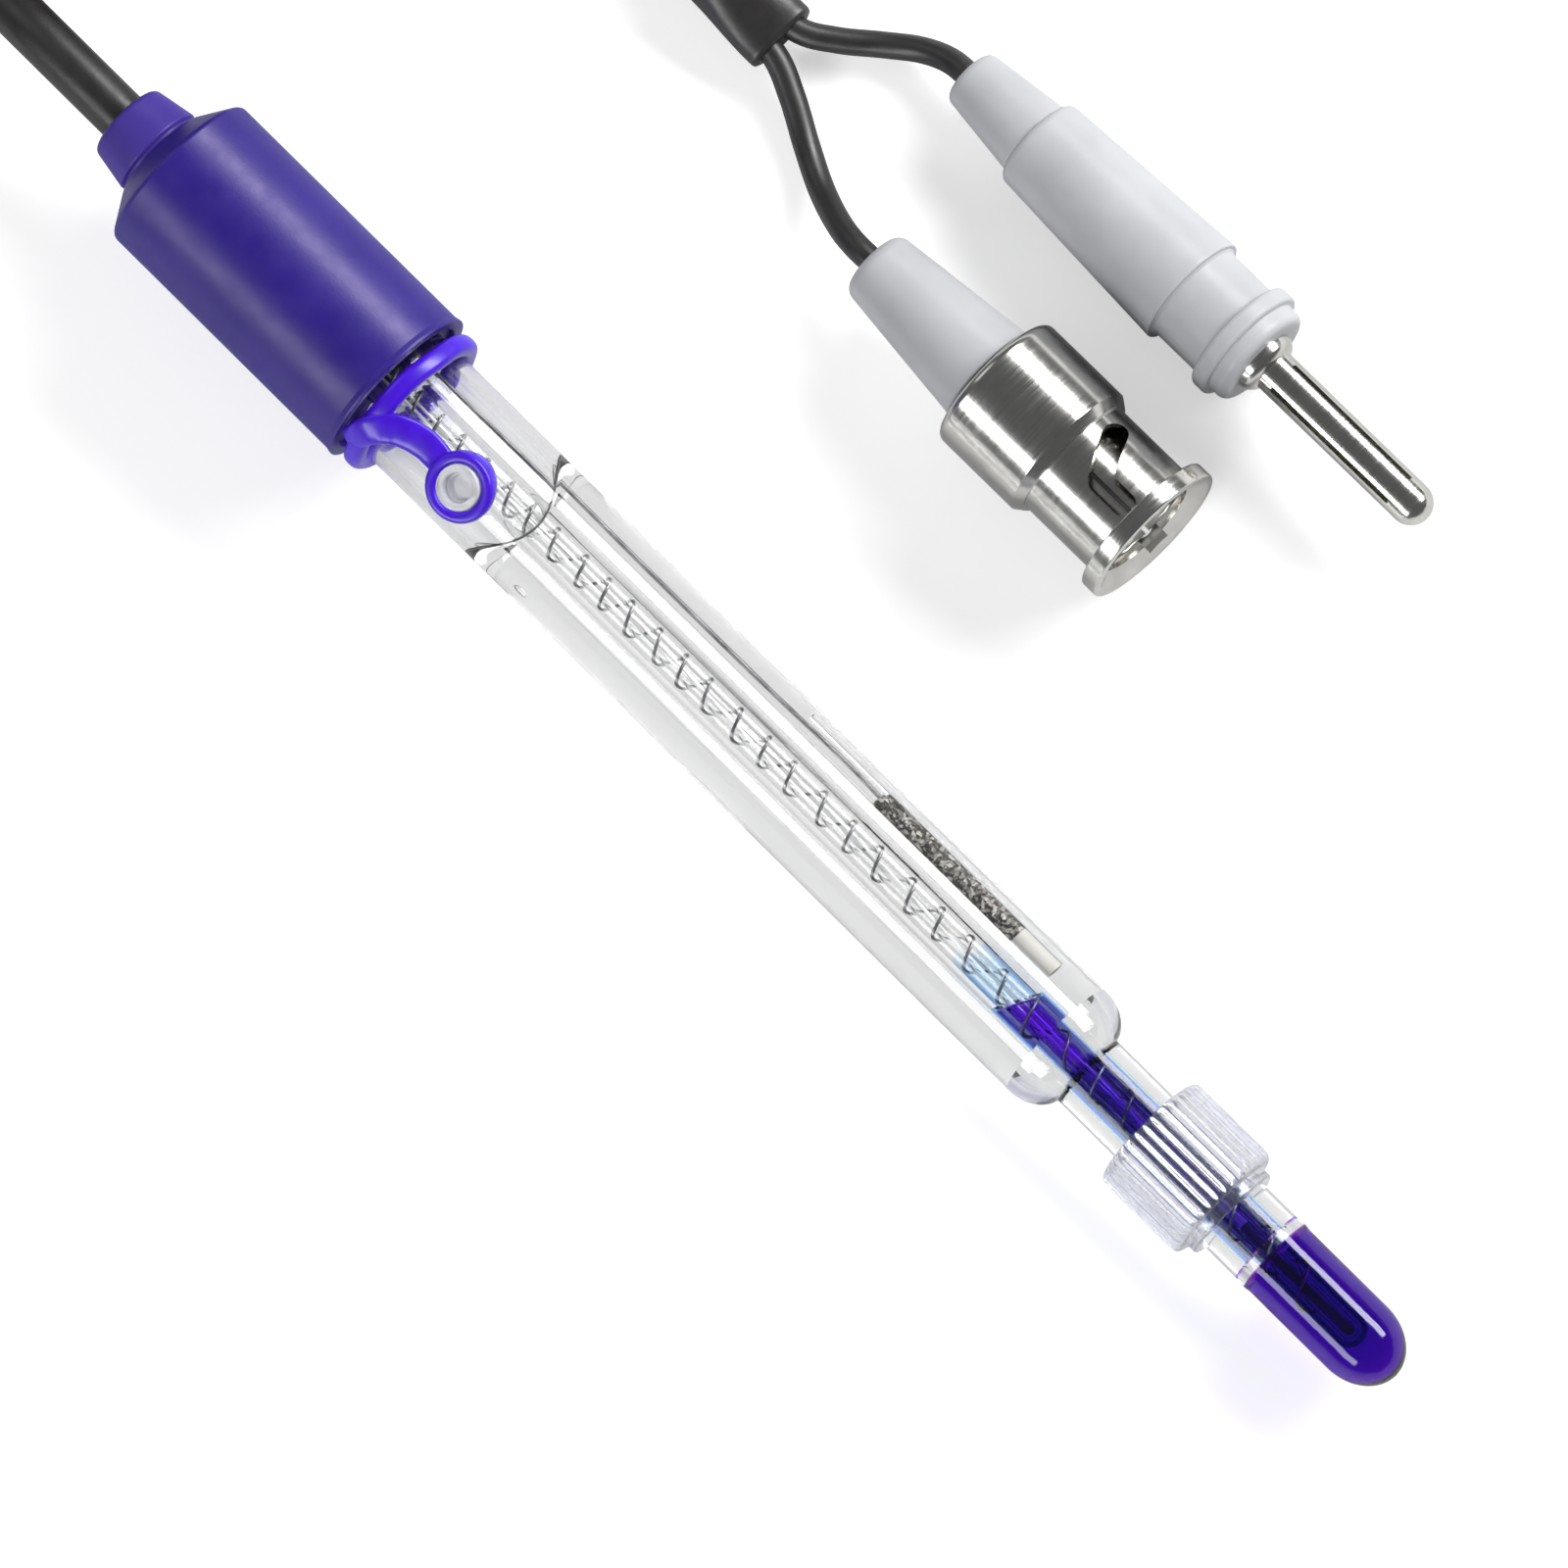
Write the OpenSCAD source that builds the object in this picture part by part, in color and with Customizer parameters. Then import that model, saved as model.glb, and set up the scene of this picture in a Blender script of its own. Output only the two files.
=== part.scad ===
// Refillable glass pH electrode with a sliding junction sleeve, a fixed cable,
// a bayonet signal plug and a 4 mm plug for its temperature sensor.
// It lies on the floor, z = 0, with its cap towards -X and its bulb towards +X.
// Places along the electrode are counted from the cap's open rim, plus towards the bulb.

/* [Cap] */
// Diameter of the cap
cap_d = 16; // [15.6:0.2:18]
// Length of the cap's straight wall
cap_len = 27.3; // [24:0.5:34]
// Length of the bevel at the cap's cable end
cap_bevel = 2.1; // [1.8:0.1:2.6]
// Wall of the cap
cap_wall = 1; // [0.8:0.1:1.2]
// How far the open rim flares outwards
rim_flare = 0.1; // [0.05:0.05:0.3]
// Length of the neck that the cable leaves
neck_out = 4.7; // [4:0.1:8]
// Diameter of that neck at its cable end
neck_d1 = 7.5; // [7:0.1:8]
// Diameter of that neck at the cap
neck_d2 = 8.9; // [8.4:0.1:9.2]
// How deep the glass sits in the cap
glass_in = 9; // [6:0.5:14]
// How far the potting stops short of the cap's rim
potting_back = 0.6; // [0.4:0.1:5]

/* [Glass body] */
// Diameter of the glass shaft
glass_d = 12; // [11.8:0.1:12.6]
// Wall of the shaft
glass_wall = 1; // [0.9:0.05:1.1]
// Length of the shaft from the cap's rim to the shoulder
shaft_len = 81.7; // [78:0.5:110]
// Length of the shoulder
shoulder_len = 3.6; // [3:0.1:5]
// Diameter of the narrow neck
stem_neck_d = 7.3; // [7.2:0.1:7.8]
// Wall of the narrow neck
stem_neck_wall = 0.75; // [0.6:0.05:0.8]
// Length of the narrow neck from the shoulder to the bulb's seam
stem_neck_len = 22.9; // [22.5:0.5:30]
// How much the neck widens towards the bulb, in diameter, for the ground seat
seat_taper = 0.1; // [0:0.05:0.3]
// Diameter of the two outlets under the sleeve
outlet_d = 0.8; // [0.5:0.1:1.2]
// Height of the outlets above the seam
outlet_up = 8.7; // [7:0.1:10]
// Diameter of the refill hole
refill_d = 2.76; // [2.5:0.02:3]

/* [Membrane bulb] */
// Diameter of the bulb
bulb_d = 7.4; // [7:0.1:7.4]
// Length of the bulb from its seam to the tip
bulb_len = 14.7; // [12:0.1:18]
// Length of the bulb's rounded end
bulb_end = 4.7; // [3.7:0.1:5]
// Wall of the bulb
bulb_wall = 0.4; // [0.3:0.05:0.5]

/* [Inner stem] */
// Diameter of the inner stem tube
stem_d = 5; // [4.6:0.1:5.2]
// Wall of the stem tube
stem_wall = 0.9; // [0.7:0.05:0.95]
// How far the stem reaches into the potting
stem_in = 3; // [2:0.5:5]
// Height of the gel's surface above the shoulder
gel_up = 4.2; // [1:0.1:12]
// Slant of the gel's surface
gel_slant = 35; // [0:1:50]
// Diameter of the sensor capillary
capillary_d = 1.8; // [1.6:0.1:1.9]
// Wall of the sensor capillary
capillary_wall = 0.3; // [0.25:0.05:0.35]
// Distance of the capillary's closed end from the bulb's tip
capillary_up = 4.5; // [3:0.1:7]
// Length of the temperature sensor
sensor_len = 4; // [2:0.5:6]
// Diameter of the coiled silver wire
coil_wire = 0.3; // [0.2:0.02:0.36]
// Rise of one turn of the silver wire at its upper end
coil_pitch_top = 2.6; // [2:0.1:3.4]
// Rise of one turn of the silver wire at its lower end
coil_pitch = 4.4; // [3.5:0.1:6]
// Distance of the coil's lower end from the bulb's tip
coil_up = 9; // [7:0.5:14]

/* [Reference side] */
// Level of the liquid's lowest point, from the cap's rim
level = 17; // [16:0.5:22]
// Sag of the liquid's curved surface
level_sag = 2; // [1:0.1:2.5]
// Diameter of the reference cartridge
cartridge_d = 2.2; // [2:0.05:2.3]
// Wall of the cartridge
cartridge_wall = 0.35; // [0.25:0.05:0.4]
// Length of the cartridge
cartridge_len = 30.9; // [26:0.1:34]
// Gap between the cartridge's lower end and the shoulder
cartridge_up = 4.1; // [3:0.1:6]
// Length of the pale plug in its lower end
plug_len = 4.5; // [3:0.1:6]
// Length of the granular silver chloride fill
chloride_len = 17; // [12:0.1:18]
// Turn of the cartridge round the stem, up from the side
cartridge_turn = 22; // [0:1:40]
// Diameter of the reference wire
ref_wire = 0.4; // [0.3:0.02:0.6]

/* [Refill closure] */
// Distance of the band's middle from the cap's rim
band_s = 1.95; // [1.6:0.05:2.1]
// Width of the band
band_w = 1.5; // [1.3:0.05:1.6]
// How far the band stands out from the glass
band_h = 1.7; // [1.4:0.05:1.9]
// Distance of the refill hole from the cap's rim
refill_s = 11.45; // [11:0.05:12.5]
// Turn of the refill hole from the top
refill_turn = 19.4; // [10:0.2:30]
// Thickness of the strap
strap_t = 0.75; // [0.6:0.05:0.8]
// Width of the tongue between the fold and the eyelet
tongue_w = 2.4; // [2:0.1:2.8]
// Distance of the strap's fold line from the cap's rim
fold_s = 6.75; // [6.5:0.05:7]
// Outer diameter of the eyelet
eyelet_d = 6.4; // [6:0.1:6.8]
// Diameter of the eyelet's hole
eyelet_hole = 4.2; // [3.8:0.1:4.4]
// How high the eyelet stands above the glass
eyelet_h = 1.5; // [1.2:0.1:1.7]
// Depth of the recess in the clear plug
plug_recess = 1.2; // [0.6:0.1:1.4]
// Diameter of the recess in the clear plug
recess_d = 2.7; // [2:0.1:3]
// Depth that the plug's stem reaches into the glass
plug_reach = 1.2; // [1:0.1:1.5]

/* [Junction sleeve] */
// Diameter of the sleeve over its ribs
sleeve_d = 11.8; // [11:0.1:12]
// Length of the ribbed part
sleeve_len = 9.4; // [8.5:0.1:10]
// Number of ribs
ribs = 40; // [30:1:44]
// Depth of the grooves between the ribs
rib_depth = 0.4; // [0.2:0.05:0.5]
// Rounding of the sleeve's ends
sleeve_edge = 0.8; // [0.4:0.1:1.2]
// Diameter of the sleeve's lower lip
lip_d = 9.3; // [8.6:0.1:10]
// Length of the sleeve's lower lip
lip_len = 1.1; // [0.6:0.1:1.4]
// Bare neck between the shoulder and the sleeve
sleeve_gap = 7.4; // [6.5:0.1:8.5]

/* [Cable] */
// Diameter of the cable
cable_d = 4.7; // [4:0.1:4.8]
// Diameter of each lead behind the split
lead_d = 2.4; // [2:0.1:2.6]
// Length of the moulded splitter
splitter_len = 12; // [10:0.5:16]
// Wall of the splitter round the cable
splitter_wall = 0.85; // [0.6:0.05:1.2]
// Distance between the two leads where they leave the splitter
lead_gap = 3; // [2.8:0.1:3.4]

/* [Signal plug] */
// Length of the boot
boot_len = 14.6; // [12:0.1:20]
// Diameter of the boot at its lead end
boot_d1 = 6.8; // [6:0.1:7.4]
// Diameter of the boot at the nut
boot_d2 = 9.8; // [9:0.1:11]
// Diameter of the nut's grip
grip_d = 13.7; // [13.4:0.1:14.2]
// Length of the nut's grip
grip_len = 9.2; // [8:0.1:9.6]
// Length of the bevel in front of the grip
grip_bevel = 0.9; // [0.5:0.1:1.4]
// Diameter of the nut's slotted sleeve
nut_d = 11.8; // [11.7:0.1:12.2]
// Length of the nut's slotted sleeve
nut_len = 8.2; // [8:0.1:9.5]
// Diameter of the nut's front flange
flange_d = 14.4; // [14:0.1:15.4]
// Thickness of the front flange
flange_t = 1.7; // [1.4:0.1:2]
// Bore of the nut that the socket enters
socket_d = 9.8; // [9.7:0.05:10]
// Width of the bayonet slots
slot_w = 2.2; // [2:0.1:2.4]
// Diameter of the outer contact
contact_d = 8.1; // [8:0.05:8.2]
// Wall of the outer contact
contact_wall = 0.6; // [0.4:0.05:0.7]
// How far the outer contact stops behind the flange's face
contact_back = 1.5; // [1:0.1:2.5]
// Bore of the insulator
insulator_bore = 4.9; // [4.6:0.05:5.2]
// Diameter of the centre pin
centre_pin_d = 1.35; // [1.3:0.01:1.4]

/* [Temperature plug] */
// Length of the boot
tboot_len = 8.5; // [7:0.1:12]
// Diameter of the boot at its lead end
tboot_d1 = 5.5; // [5:0.1:6]
// Diameter of the boot at the handle
tboot_d2 = 7.5; // [7:0.1:8.5]
// Length of the handle
handle_len = 19.5; // [16:0.1:24]
// Diameter of the handle at the boot
handle_d1 = 8.9; // [8.6:0.1:9.4]
// Diameter of the handle at its front
handle_d2 = 10.9; // [10.4:0.1:11.4]
// Diameter of the waist in front of the handle
waist_d = 9.6; // [9:0.1:10]
// Length of the waist
waist_len = 5.4; // [4:0.1:7]
// Diameter of the front collar
collar_d = 11.3; // [11:0.1:12]
// Thickness of each of the collar's two steps
collar_t = 1.7; // [1.2:0.1:2.2]
// Diameter of the pin
pin_d = 4; // [3.9:0.05:4.1]
// Length of the pin
pin_len = 18.8; // [15:0.1:20]
// Diameter of the pin's hub
hub_d = 6; // [5.4:0.1:6.4]
// Length of the pin's hub
hub_len = 1.4; // [1:0.1:2]
// Width of the pin's slots
pin_slot = 0.5; // [0.3:0.05:0.6]

/* [Fits] */
// Gap between pieces that are fixed in each other
fit = 0.02; // [0.01:0.01:0.04]
// Radial running clearance of the sleeve, the plug's stem and the nut
run = 0.06; // [0.04:0.01:0.09]
// Clearance between the strap's two halves, and of the eyelet over the glass
clear = 0.12; // [0.1:0.01:0.14]

/* [Hidden] */
$fn = 96;

cap_r = cap_d / 2;
rim_r = cap_r + rim_flare;
glass_r = glass_d / 2;
glass_ri = glass_r - glass_wall;
neck_r = stem_neck_d / 2;
neck_ri = neck_r - stem_neck_wall;
seat_r = neck_r + seat_taper / 2;
stem_r = stem_d / 2;
stem_ri = stem_r - stem_wall;
capillary_r = capillary_d / 2;
capillary_ri = capillary_r - capillary_wall;
bulb_r = bulb_d / 2;
bulb_ri = bulb_r - bulb_wall;
cable_r = cable_d / 2;
lead_r = lead_d / 2;
sleeve_r = sleeve_d / 2;

// Places along the electrode
s_cap = -cap_len;
s_cap_end = s_cap - cap_bevel;
s_neck_end = s_cap_end - neck_out;
end_wall = 2;
s_cavity = s_cap_end + end_wall;
bush_flange = 1.5;
s_potting = s_cavity + bush_flange + fit;
cable_in = 4;
s_glass = -glass_in;
s_stem = s_glass - stem_in;
s_neck = shaft_len + shoulder_len;
s_seam = s_neck + stem_neck_len;
s_tip = s_seam + bulb_len;
s_sleeve = s_neck + sleeve_gap;
s_sleeve_end = s_sleeve + sleeve_len;
s_gel = shaft_len - gel_up;
s_cartridge_end = shaft_len - cartridge_up;
s_cartridge = s_cartridge_end - cartridge_len;
s_chloride_end = s_cartridge_end - plug_len;
s_chloride = s_chloride_end - chloride_len;

// The electrode leans on the cap's rim and on the sleeve's lower end
s_rest = s_sleeve_end - sleeve_edge;
lean = atan((rim_r - sleeve_r) / s_rest);
bulb_centre = s_tip - bulb_r;
x_low = s_neck_end * cos(lean) - neck_d1 / 2 * sin(lean);
x_high = bulb_centre * cos(lean) + bulb_r;
x_shift = -(x_low + x_high) / 2;
z_axis = rim_r * cos(lean);

// Cartridge centre, midway between the stem and the shaft's wall
cartridge_off = (stem_r + glass_ri) / 2;
cartridge_y = cartridge_off * cos(cartridge_turn);
cartridge_z = cartridge_off * sin(cartridge_turn);

// Routes, in the frame of the floor. Round numbers chosen by hand.
cable_way = [
  [-84, 0, 8.9], [-90, 0, 8.3], [-96, 0, 6.4], [-102, 0, 4.2], [-108, 0, 2.7], [-115, 0, 2.35]
];
coil_at = [-115, 30.5];
coil_r1 = 17.5;
coil_r2 = 30.5;
return_way = [
  [-115, 61, 7], [-107, 60.7, 6.7], [-99, 59.3, 5.6], [-91, 56.7, 4.3], [-83, 53.4, 3.2],
  [-75, 50.2, 2.6], [-67, 47.6, 2.6], [-60, 46, 3]
];
splitter_at = [-55, 45.5, 3.2];
signal_way = [[-39, 42.5, 1.9], [-35, 40.3, 1.5], [-31, 38.4, 2.5], [-27, 37.2, 4.9], [-24.6, 36.9, 6.1]];
temperature_way = [[-39.6, 48.8, 1.9], [-36.6, 51.2, 1.6], [-33.6, 53.3, 2.1], [-31, 54.3, 3.1]];
signal_at = [-22.5, 36.9];
temperature_at = [-28.6, 54.5];
out_z = 2.4;

// Signal plug, counted from the boot's lead end
t_nut = boot_len + 0.4;
t_grip = t_nut + grip_len;
t_sleeve = t_grip + grip_bevel;
t_flange = t_sleeve + nut_len;
t_face = t_flange + flange_t;
nut_edge = 0.6;
nut_lip = 1.4;
hub_r = 4.2;
spring_t = 0.5;
t_spring = t_nut + nut_lip + 0.1;
t_shoulder = t_spring + spring_t + 0.1;
shoulder_t = 1.4;
shoulder_r = 5.5;
cavity_r = shoulder_r + 0.25;
t_gasket = t_shoulder + shoulder_t;
gasket_t = 1;
t_cavity_end = t_gasket + gasket_t + 0.3;
contact_r = contact_d / 2;
t_contact = t_face - contact_back;
ferrule_r = 2.95;
ferrule_in = 5.4;
signal_lean = atan((flange_d - grip_d) / 2 / (t_flange - t_nut - nut_edge));
signal_z = (grip_d / 2 - (t_nut + nut_edge) * sin(signal_lean)) / cos(signal_lean) + 0.02;

// Temperature plug, counted from the boot's lead end
handle_edge = 0.5;
t_handle = tboot_len;
t_waist = t_handle + handle_len;
t_collar = t_waist + waist_len;
t_hub = t_collar + 2 * collar_t;
t_pin = t_hub + hub_len;
shank_r = 1.5;
shank_in = 16;
temperature_lean = atan((handle_d2 - handle_d1) / 2 / (handle_len - handle_edge));
temperature_z = (handle_d2 / 2 - t_waist * sin(temperature_lean)) / cos(temperature_lean) + 0.02;

// Placing helpers
module lay() {
  translate([x_shift, 0, z_axis]) rotate([0, lean, 0]) children();
}

module at_signal() {
  translate([signal_at[0], signal_at[1], signal_z]) rotate([0, -signal_lean, 0]) children();
}

module at_temperature() {
  translate([temperature_at[0], temperature_at[1], temperature_z])
    rotate([0, -temperature_lean, 0]) children();
}

// A profile of [radius, place] points turned round the local X axis
module turned(profile) {
  rotate([0, 90, 0]) rotate_extrude() polygon(profile);
}

// A round rod from place a to place b on the local X axis
module rod(r, a, b) {
  translate([a, 0, 0]) rotate([0, 90, 0]) cylinder(r = r, h = b - a);
}

module tube(r, ri, a, b) {
  turned([[ri, a], [r, a], [r, b], [ri, b]]);
}

// Points of an arc about [r, s], for a turned profile
function bend(r, s, radius, from, to, steps = 6) =
  [for (i = [0 : steps]) let (a = from + (to - from) * i / steps) [r + radius * cos(a), s + radius * sin(a)]];

function unit(v) = v / norm(v);

// The direction of a route at point i: along the chord of its neighbours
function heading(way, i) =
  unit(way[min(i + 1, len(way) - 1)] - way[max(i - 1, 0)]);

// Rings of points round a route, upright towards the given direction
function rings(way, r, sides, up) = [
  for (i = [0 : len(way) - 1])
    let (t = heading(way, i), side = unit(cross(up, t)), top = cross(t, side))
      for (k = [0 : sides - 1])
        way[i] + r * (cos(360 * k / sides) * side + sin(360 * k / sides) * top)
];

function ring_faces(count, sides) = concat(
  [[for (k = [0 : sides - 1]) k]],
  [for (i = [0 : count - 2]) for (k = [0 : sides - 1])
    let (a = i * sides + k, b = i * sides + (k + 1) % sides)
      each [[a, a + sides, b + sides], [a, b + sides, b]]],
  [[for (k = [sides - 1 : -1 : 0]) (count - 1) * sides + k]]
);

module cord(way, r, sides = 10, up = [0, 0, 1]) {
  polyhedron(points = rings(way, r, sides, up), faces = ring_faces(len(way), sides), convexity = 6);
}

// A point at place s on the electrode's axis, offset by y and z, in the frame of the floor
function on_axis(s, y = 0, z = 0) =
  [x_shift + s * cos(lean) + z * sin(lean), y, z_axis - s * sin(lean) + z * cos(lean)];

function on_signal(t) =
  [signal_at[0] + t * cos(signal_lean), signal_at[1], signal_z + t * sin(signal_lean)];

function on_temperature(t) =
  [temperature_at[0] + t * cos(temperature_lean), temperature_at[1],
   temperature_z + t * sin(temperature_lean)];

// Head

module cap_shell() {
  cavity_r = cap_r - cap_wall;
  color("#4a3a8c") lay() difference() {
    turned([
      [0, s_cap_end], [neck_d2 / 2 + 0.4, s_cap_end], [cap_r, s_cap], [cap_r, -0.6],
      [rim_r, -0.3], [rim_r, 0], [0, 0]
    ]);
    turned([[0, s_cavity], [cavity_r - 1, s_cavity], [cavity_r, s_cavity + 1], [cavity_r, 1], [0, 1]]);
    rod(neck_d2 / 2 + fit, s_cap_end - 1, s_cavity + 1);
  }
}

module strain_relief() {
  edge = 0.65;
  groove = 0.25;
  color("#5244a0") lay() difference() {
    turned(concat(
      [[0, s_neck_end]],
      bend(neck_d1 / 2 - edge, s_neck_end + edge, edge, -90, 0),
      [
        [neck_d2 / 2, s_cap_end - 0.6], [neck_d2 / 2 - groove, s_cap_end - 0.3],
        [neck_d2 / 2 - groove, s_cap_end], [neck_d2 / 2 - fit, s_cap_end], [neck_d2 / 2 - fit, s_cavity + fit],
        [cap_r - cap_wall - 1.2, s_cavity + fit], [cap_r - cap_wall - 1.2, s_cavity + bush_flange],
        [0, s_cavity + bush_flange]
      ]
    ));
    rod(cable_r + fit, s_neck_end - 1, s_potting);
  }
}

// Resin that holds the glass, the bush and the wires in the cap
module potting() {
  color("#2b2840") lay() difference() {
    turned([
      [0, s_potting], [cap_r - cap_wall - fit, s_potting], [cap_r - cap_wall - fit, -potting_back],
      [glass_r + fit, -potting_back], [glass_r + fit, s_glass], [0, s_glass]
    ]);
    rod(cable_r + fit, s_potting - 1, s_potting + cable_in);
    rod(stem_r + fit, s_stem, s_glass + 1);
  }
}

// Glass

module glass_body() {
  shoulder_in = s_neck - 0.3;
  color("#dfe8ee", 0.4) lay() difference() {
    turned(concat(
      [[glass_ri, s_glass], [glass_r, s_glass]],
      bend(glass_r - 1.6, shaft_len, 1.6, 0, 40),
      [[neck_r + 0.55, s_neck - 0.5], [neck_r, s_neck], [neck_r, s_sleeve], [seat_r, s_sleeve_end],
       [seat_r, s_seam], [stem_r + fit, s_seam], [stem_r + fit, s_seam - 0.9], [neck_ri, s_seam - 0.9],
       [neck_ri, shoulder_in]],
      bend(glass_ri - 1.2, shaft_len - 0.4, 1.2, 38, 0)
    ));
    at_refill() cylinder(r = refill_d / 2, h = glass_r + 1);
    for (side = [0, 180]) {
      rotate([side, 0, 0]) translate([s_seam - outlet_up, 0, stem_r + 0.1]) cylinder(r = outlet_d / 2, h = 3);
    }
  }
}

module stem_tube() {
  color("#dfe8ee", 0.4) lay() tube(stem_r, stem_ri, s_stem, s_seam);
}

// The rounded end is an ellipse of half axes r and len, from the seam side to the tip
function dome(r, len, tip, steps = 12) =
  [for (i = [0 : steps]) let (a = 90 * i / steps) [r * cos(a), tip - len + len * sin(a)]];

module membrane_bulb() {
  color("#b9a8f0", 0.5) lay() difference() {
    turned(concat([[0, s_seam], [bulb_r, s_seam]], dome(bulb_r, bulb_end, s_tip)));
    turned(concat([[0, s_seam - 1], [bulb_ri, s_seam - 1]], dome(bulb_ri, bulb_end - bulb_wall, s_tip - bulb_wall)));
  }
}

module sensor_capillary() {
  s_end = s_tip - capillary_up;
  color("#e8eef2", 0.5) lay() difference() {
    union() {
      rod(capillary_r, s_stem, s_end - capillary_r);
      translate([s_end - capillary_r, 0, 0]) sphere(r = capillary_r);
    }
    rod(capillary_ri, s_stem - 1, s_end - capillary_r);
  }
}

module temperature_sensor() {
  s_end = s_tip - capillary_up - capillary_r - 0.1;
  color("#30302c") lay() rod(capillary_ri - 0.08, s_end - sensor_len, s_end);
}

module sensor_leads() {
  s_end = s_tip - capillary_up - capillary_r - 0.1 - sensor_len;
  color("#c9c2b0") lay() for (side = [-1, 1]) {
    translate([0, side * capillary_ri / 2, 0]) rod(capillary_ri / 4, s_stem, s_end);
  }
}

// Liquid and gel

// Gel that fills the stem from a slanted surface down to the bulb's tip
module inner_buffer() {
  color("#3a12b8", 0.8) lay() difference() {
    union() {
      rod(stem_ri - fit, s_gel - 4, s_seam);
      turned(concat(
        [[0, s_seam], [bulb_ri - fit, s_seam]],
        dome(bulb_ri - fit, bulb_end - bulb_wall - fit, s_tip - bulb_wall - fit)
      ));
    }
    rod(capillary_r, s_gel - 5, s_tip - capillary_up - capillary_r);
    translate([s_tip - capillary_up - capillary_r, 0, 0]) sphere(r = capillary_r);
    translate([s_gel, 0, 0]) rotate([0, 0, -gel_slant]) translate([-10, -5, -5]) cube([10, 10, 10]);
  }
}

// a helix whose rise grows evenly along its length from one pitch to the other
function coil_way(r, from, to, pitch_from, pitch_to, steps) =
  let (growth = pitch_to / pitch_from, turns = (to - from) * ln(growth) / (pitch_to - pitch_from),
       count = ceil(turns * steps))
  [for (i = [0 : count])
    let (s = from + (to - from) * (pow(growth, i / count) - 1) / (growth - 1), a = 360 * turns * i / count)
    [s, r * cos(a), r * sin(a)]];

module silver_coil() {
  winding_r = (capillary_r + stem_ri) / 2;
  way = coil_way(winding_r, s_stem + coil_wire, s_tip - coil_up, coil_pitch_top, coil_pitch, 9);
  color("#8a8a86") lay() cord(way, coil_wire / 2, 5, [1, 0, 0]);
}

module reference_electrolyte() {
  surface_r = (glass_ri * glass_ri + level_sag * level_sag) / (2 * level_sag);
  color("#eef4f6", 0.25) lay() difference() {
    turned(concat(
      [[stem_r + fit, level - level_sag - 1], [glass_ri - fit, level - level_sag - 1]],
      bend(glass_ri - fit - 1.2, shaft_len - 0.4, 1.2, 0, 38),
      [[neck_ri - fit, s_neck - 0.3], [neck_ri - fit, s_seam - 0.9 - fit], [stem_r + fit, s_seam - 0.9 - fit]]
    ));
    translate([level - surface_r, 0, 0]) sphere(r = surface_r);
    at_cartridge() tube(cartridge_d / 2 + fit, cartridge_d / 2 - cartridge_wall - fit, s_cartridge, s_cartridge_end);
    at_cartridge() rod(cartridge_d / 2, s_chloride, s_cartridge_end);
  }
}

// Reference side

module at_cartridge() {
  translate([0, cartridge_y, cartridge_z]) children();
}

module reference_cartridge() {
  color("#dfe8ee", 0.4) lay() at_cartridge()
    tube(cartridge_d / 2, cartridge_d / 2 - cartridge_wall, s_cartridge, s_cartridge_end);
}

module silver_chloride() {
  color("#55534c") lay() at_cartridge() rod(cartridge_d / 2 - cartridge_wall - fit, s_chloride, s_chloride_end);
}

module cartridge_plug() {
  color("#e6e4de") lay() at_cartridge()
    rod(cartridge_d / 2 - cartridge_wall - fit, s_chloride_end, s_cartridge_end);
}

module reference_wire() {
  way = [
    [s_glass, cartridge_y - 0.2, cartridge_z - 0.4], [s_cartridge * 0.6, cartridge_y - 0.2, cartridge_z - 0.4],
    [s_cartridge - 2, cartridge_y - 0.1, cartridge_z - 0.1], [s_cartridge + 2, cartridge_y, cartridge_z],
    [s_chloride, cartridge_y, cartridge_z]
  ];
  color("#a8a8a4") lay() cord(way, ref_wire / 2, 8);
}

// Refill closure, in a frame whose Z points out through the refill hole

module at_refill() {
  rotate([refill_turn, 0, 0]) translate([refill_s, 0, 0]) children();
}

// Middle of the strap: place, sideways shift, width. The first is under the band.
strap_way = [[0.9, -2.2, 3.3], [2.4, -1.3, 3.5], [3.6, -0.6, 3.4], [5, 0.1, 2.9], [6.9, 0.4, 2.4]];

function strap_side(sign) = [for (p = strap_way) [p[0], p[1] + sign * p[2] / 2]];

module refill_band() {
  out_r = glass_r + band_h;
  skin = glass_r + clear / 2;
  half = strap_t / 2;
  fold_z = skin + clear / 2 + half;
  color("#4416d8") lay() difference() {
    union() {
      tube(out_r - band_w / 2, glass_r + fit, band_s - band_w / 2, band_s + band_w / 2);
      rotate([0, 90, 0]) rotate_extrude() translate([out_r - band_w / 2, band_s]) circle(d = band_w);
      intersection() {
        turned([
          [glass_r + fit, band_s - band_w * 0.7], [out_r, band_s - band_w * 0.7], [out_r, band_s + band_w / 2],
          [skin + strap_t, band_s + band_w * 1.4], [skin + strap_t, fold_s], [skin, fold_s],
          [skin, band_s + band_w], [glass_r + fit, band_s + band_w / 2]
        ]);
        rotate([refill_turn, 0, 0]) linear_extrude(height = out_r + 1)
          polygon(concat(strap_side(-1), [for (i = [len(strap_way) - 1 : -1 : 0]) strap_side(1)[i]]));
      }
    }
    rotate([refill_turn, 0, 0]) translate([fold_s, 0, fold_z]) {
      rotate([90, 0, 0]) cylinder(r = half + clear, h = 10, center = true);
      translate([-half - clear, -5, 0]) cube([5, 10, 5]);
    }
  }
}

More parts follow.
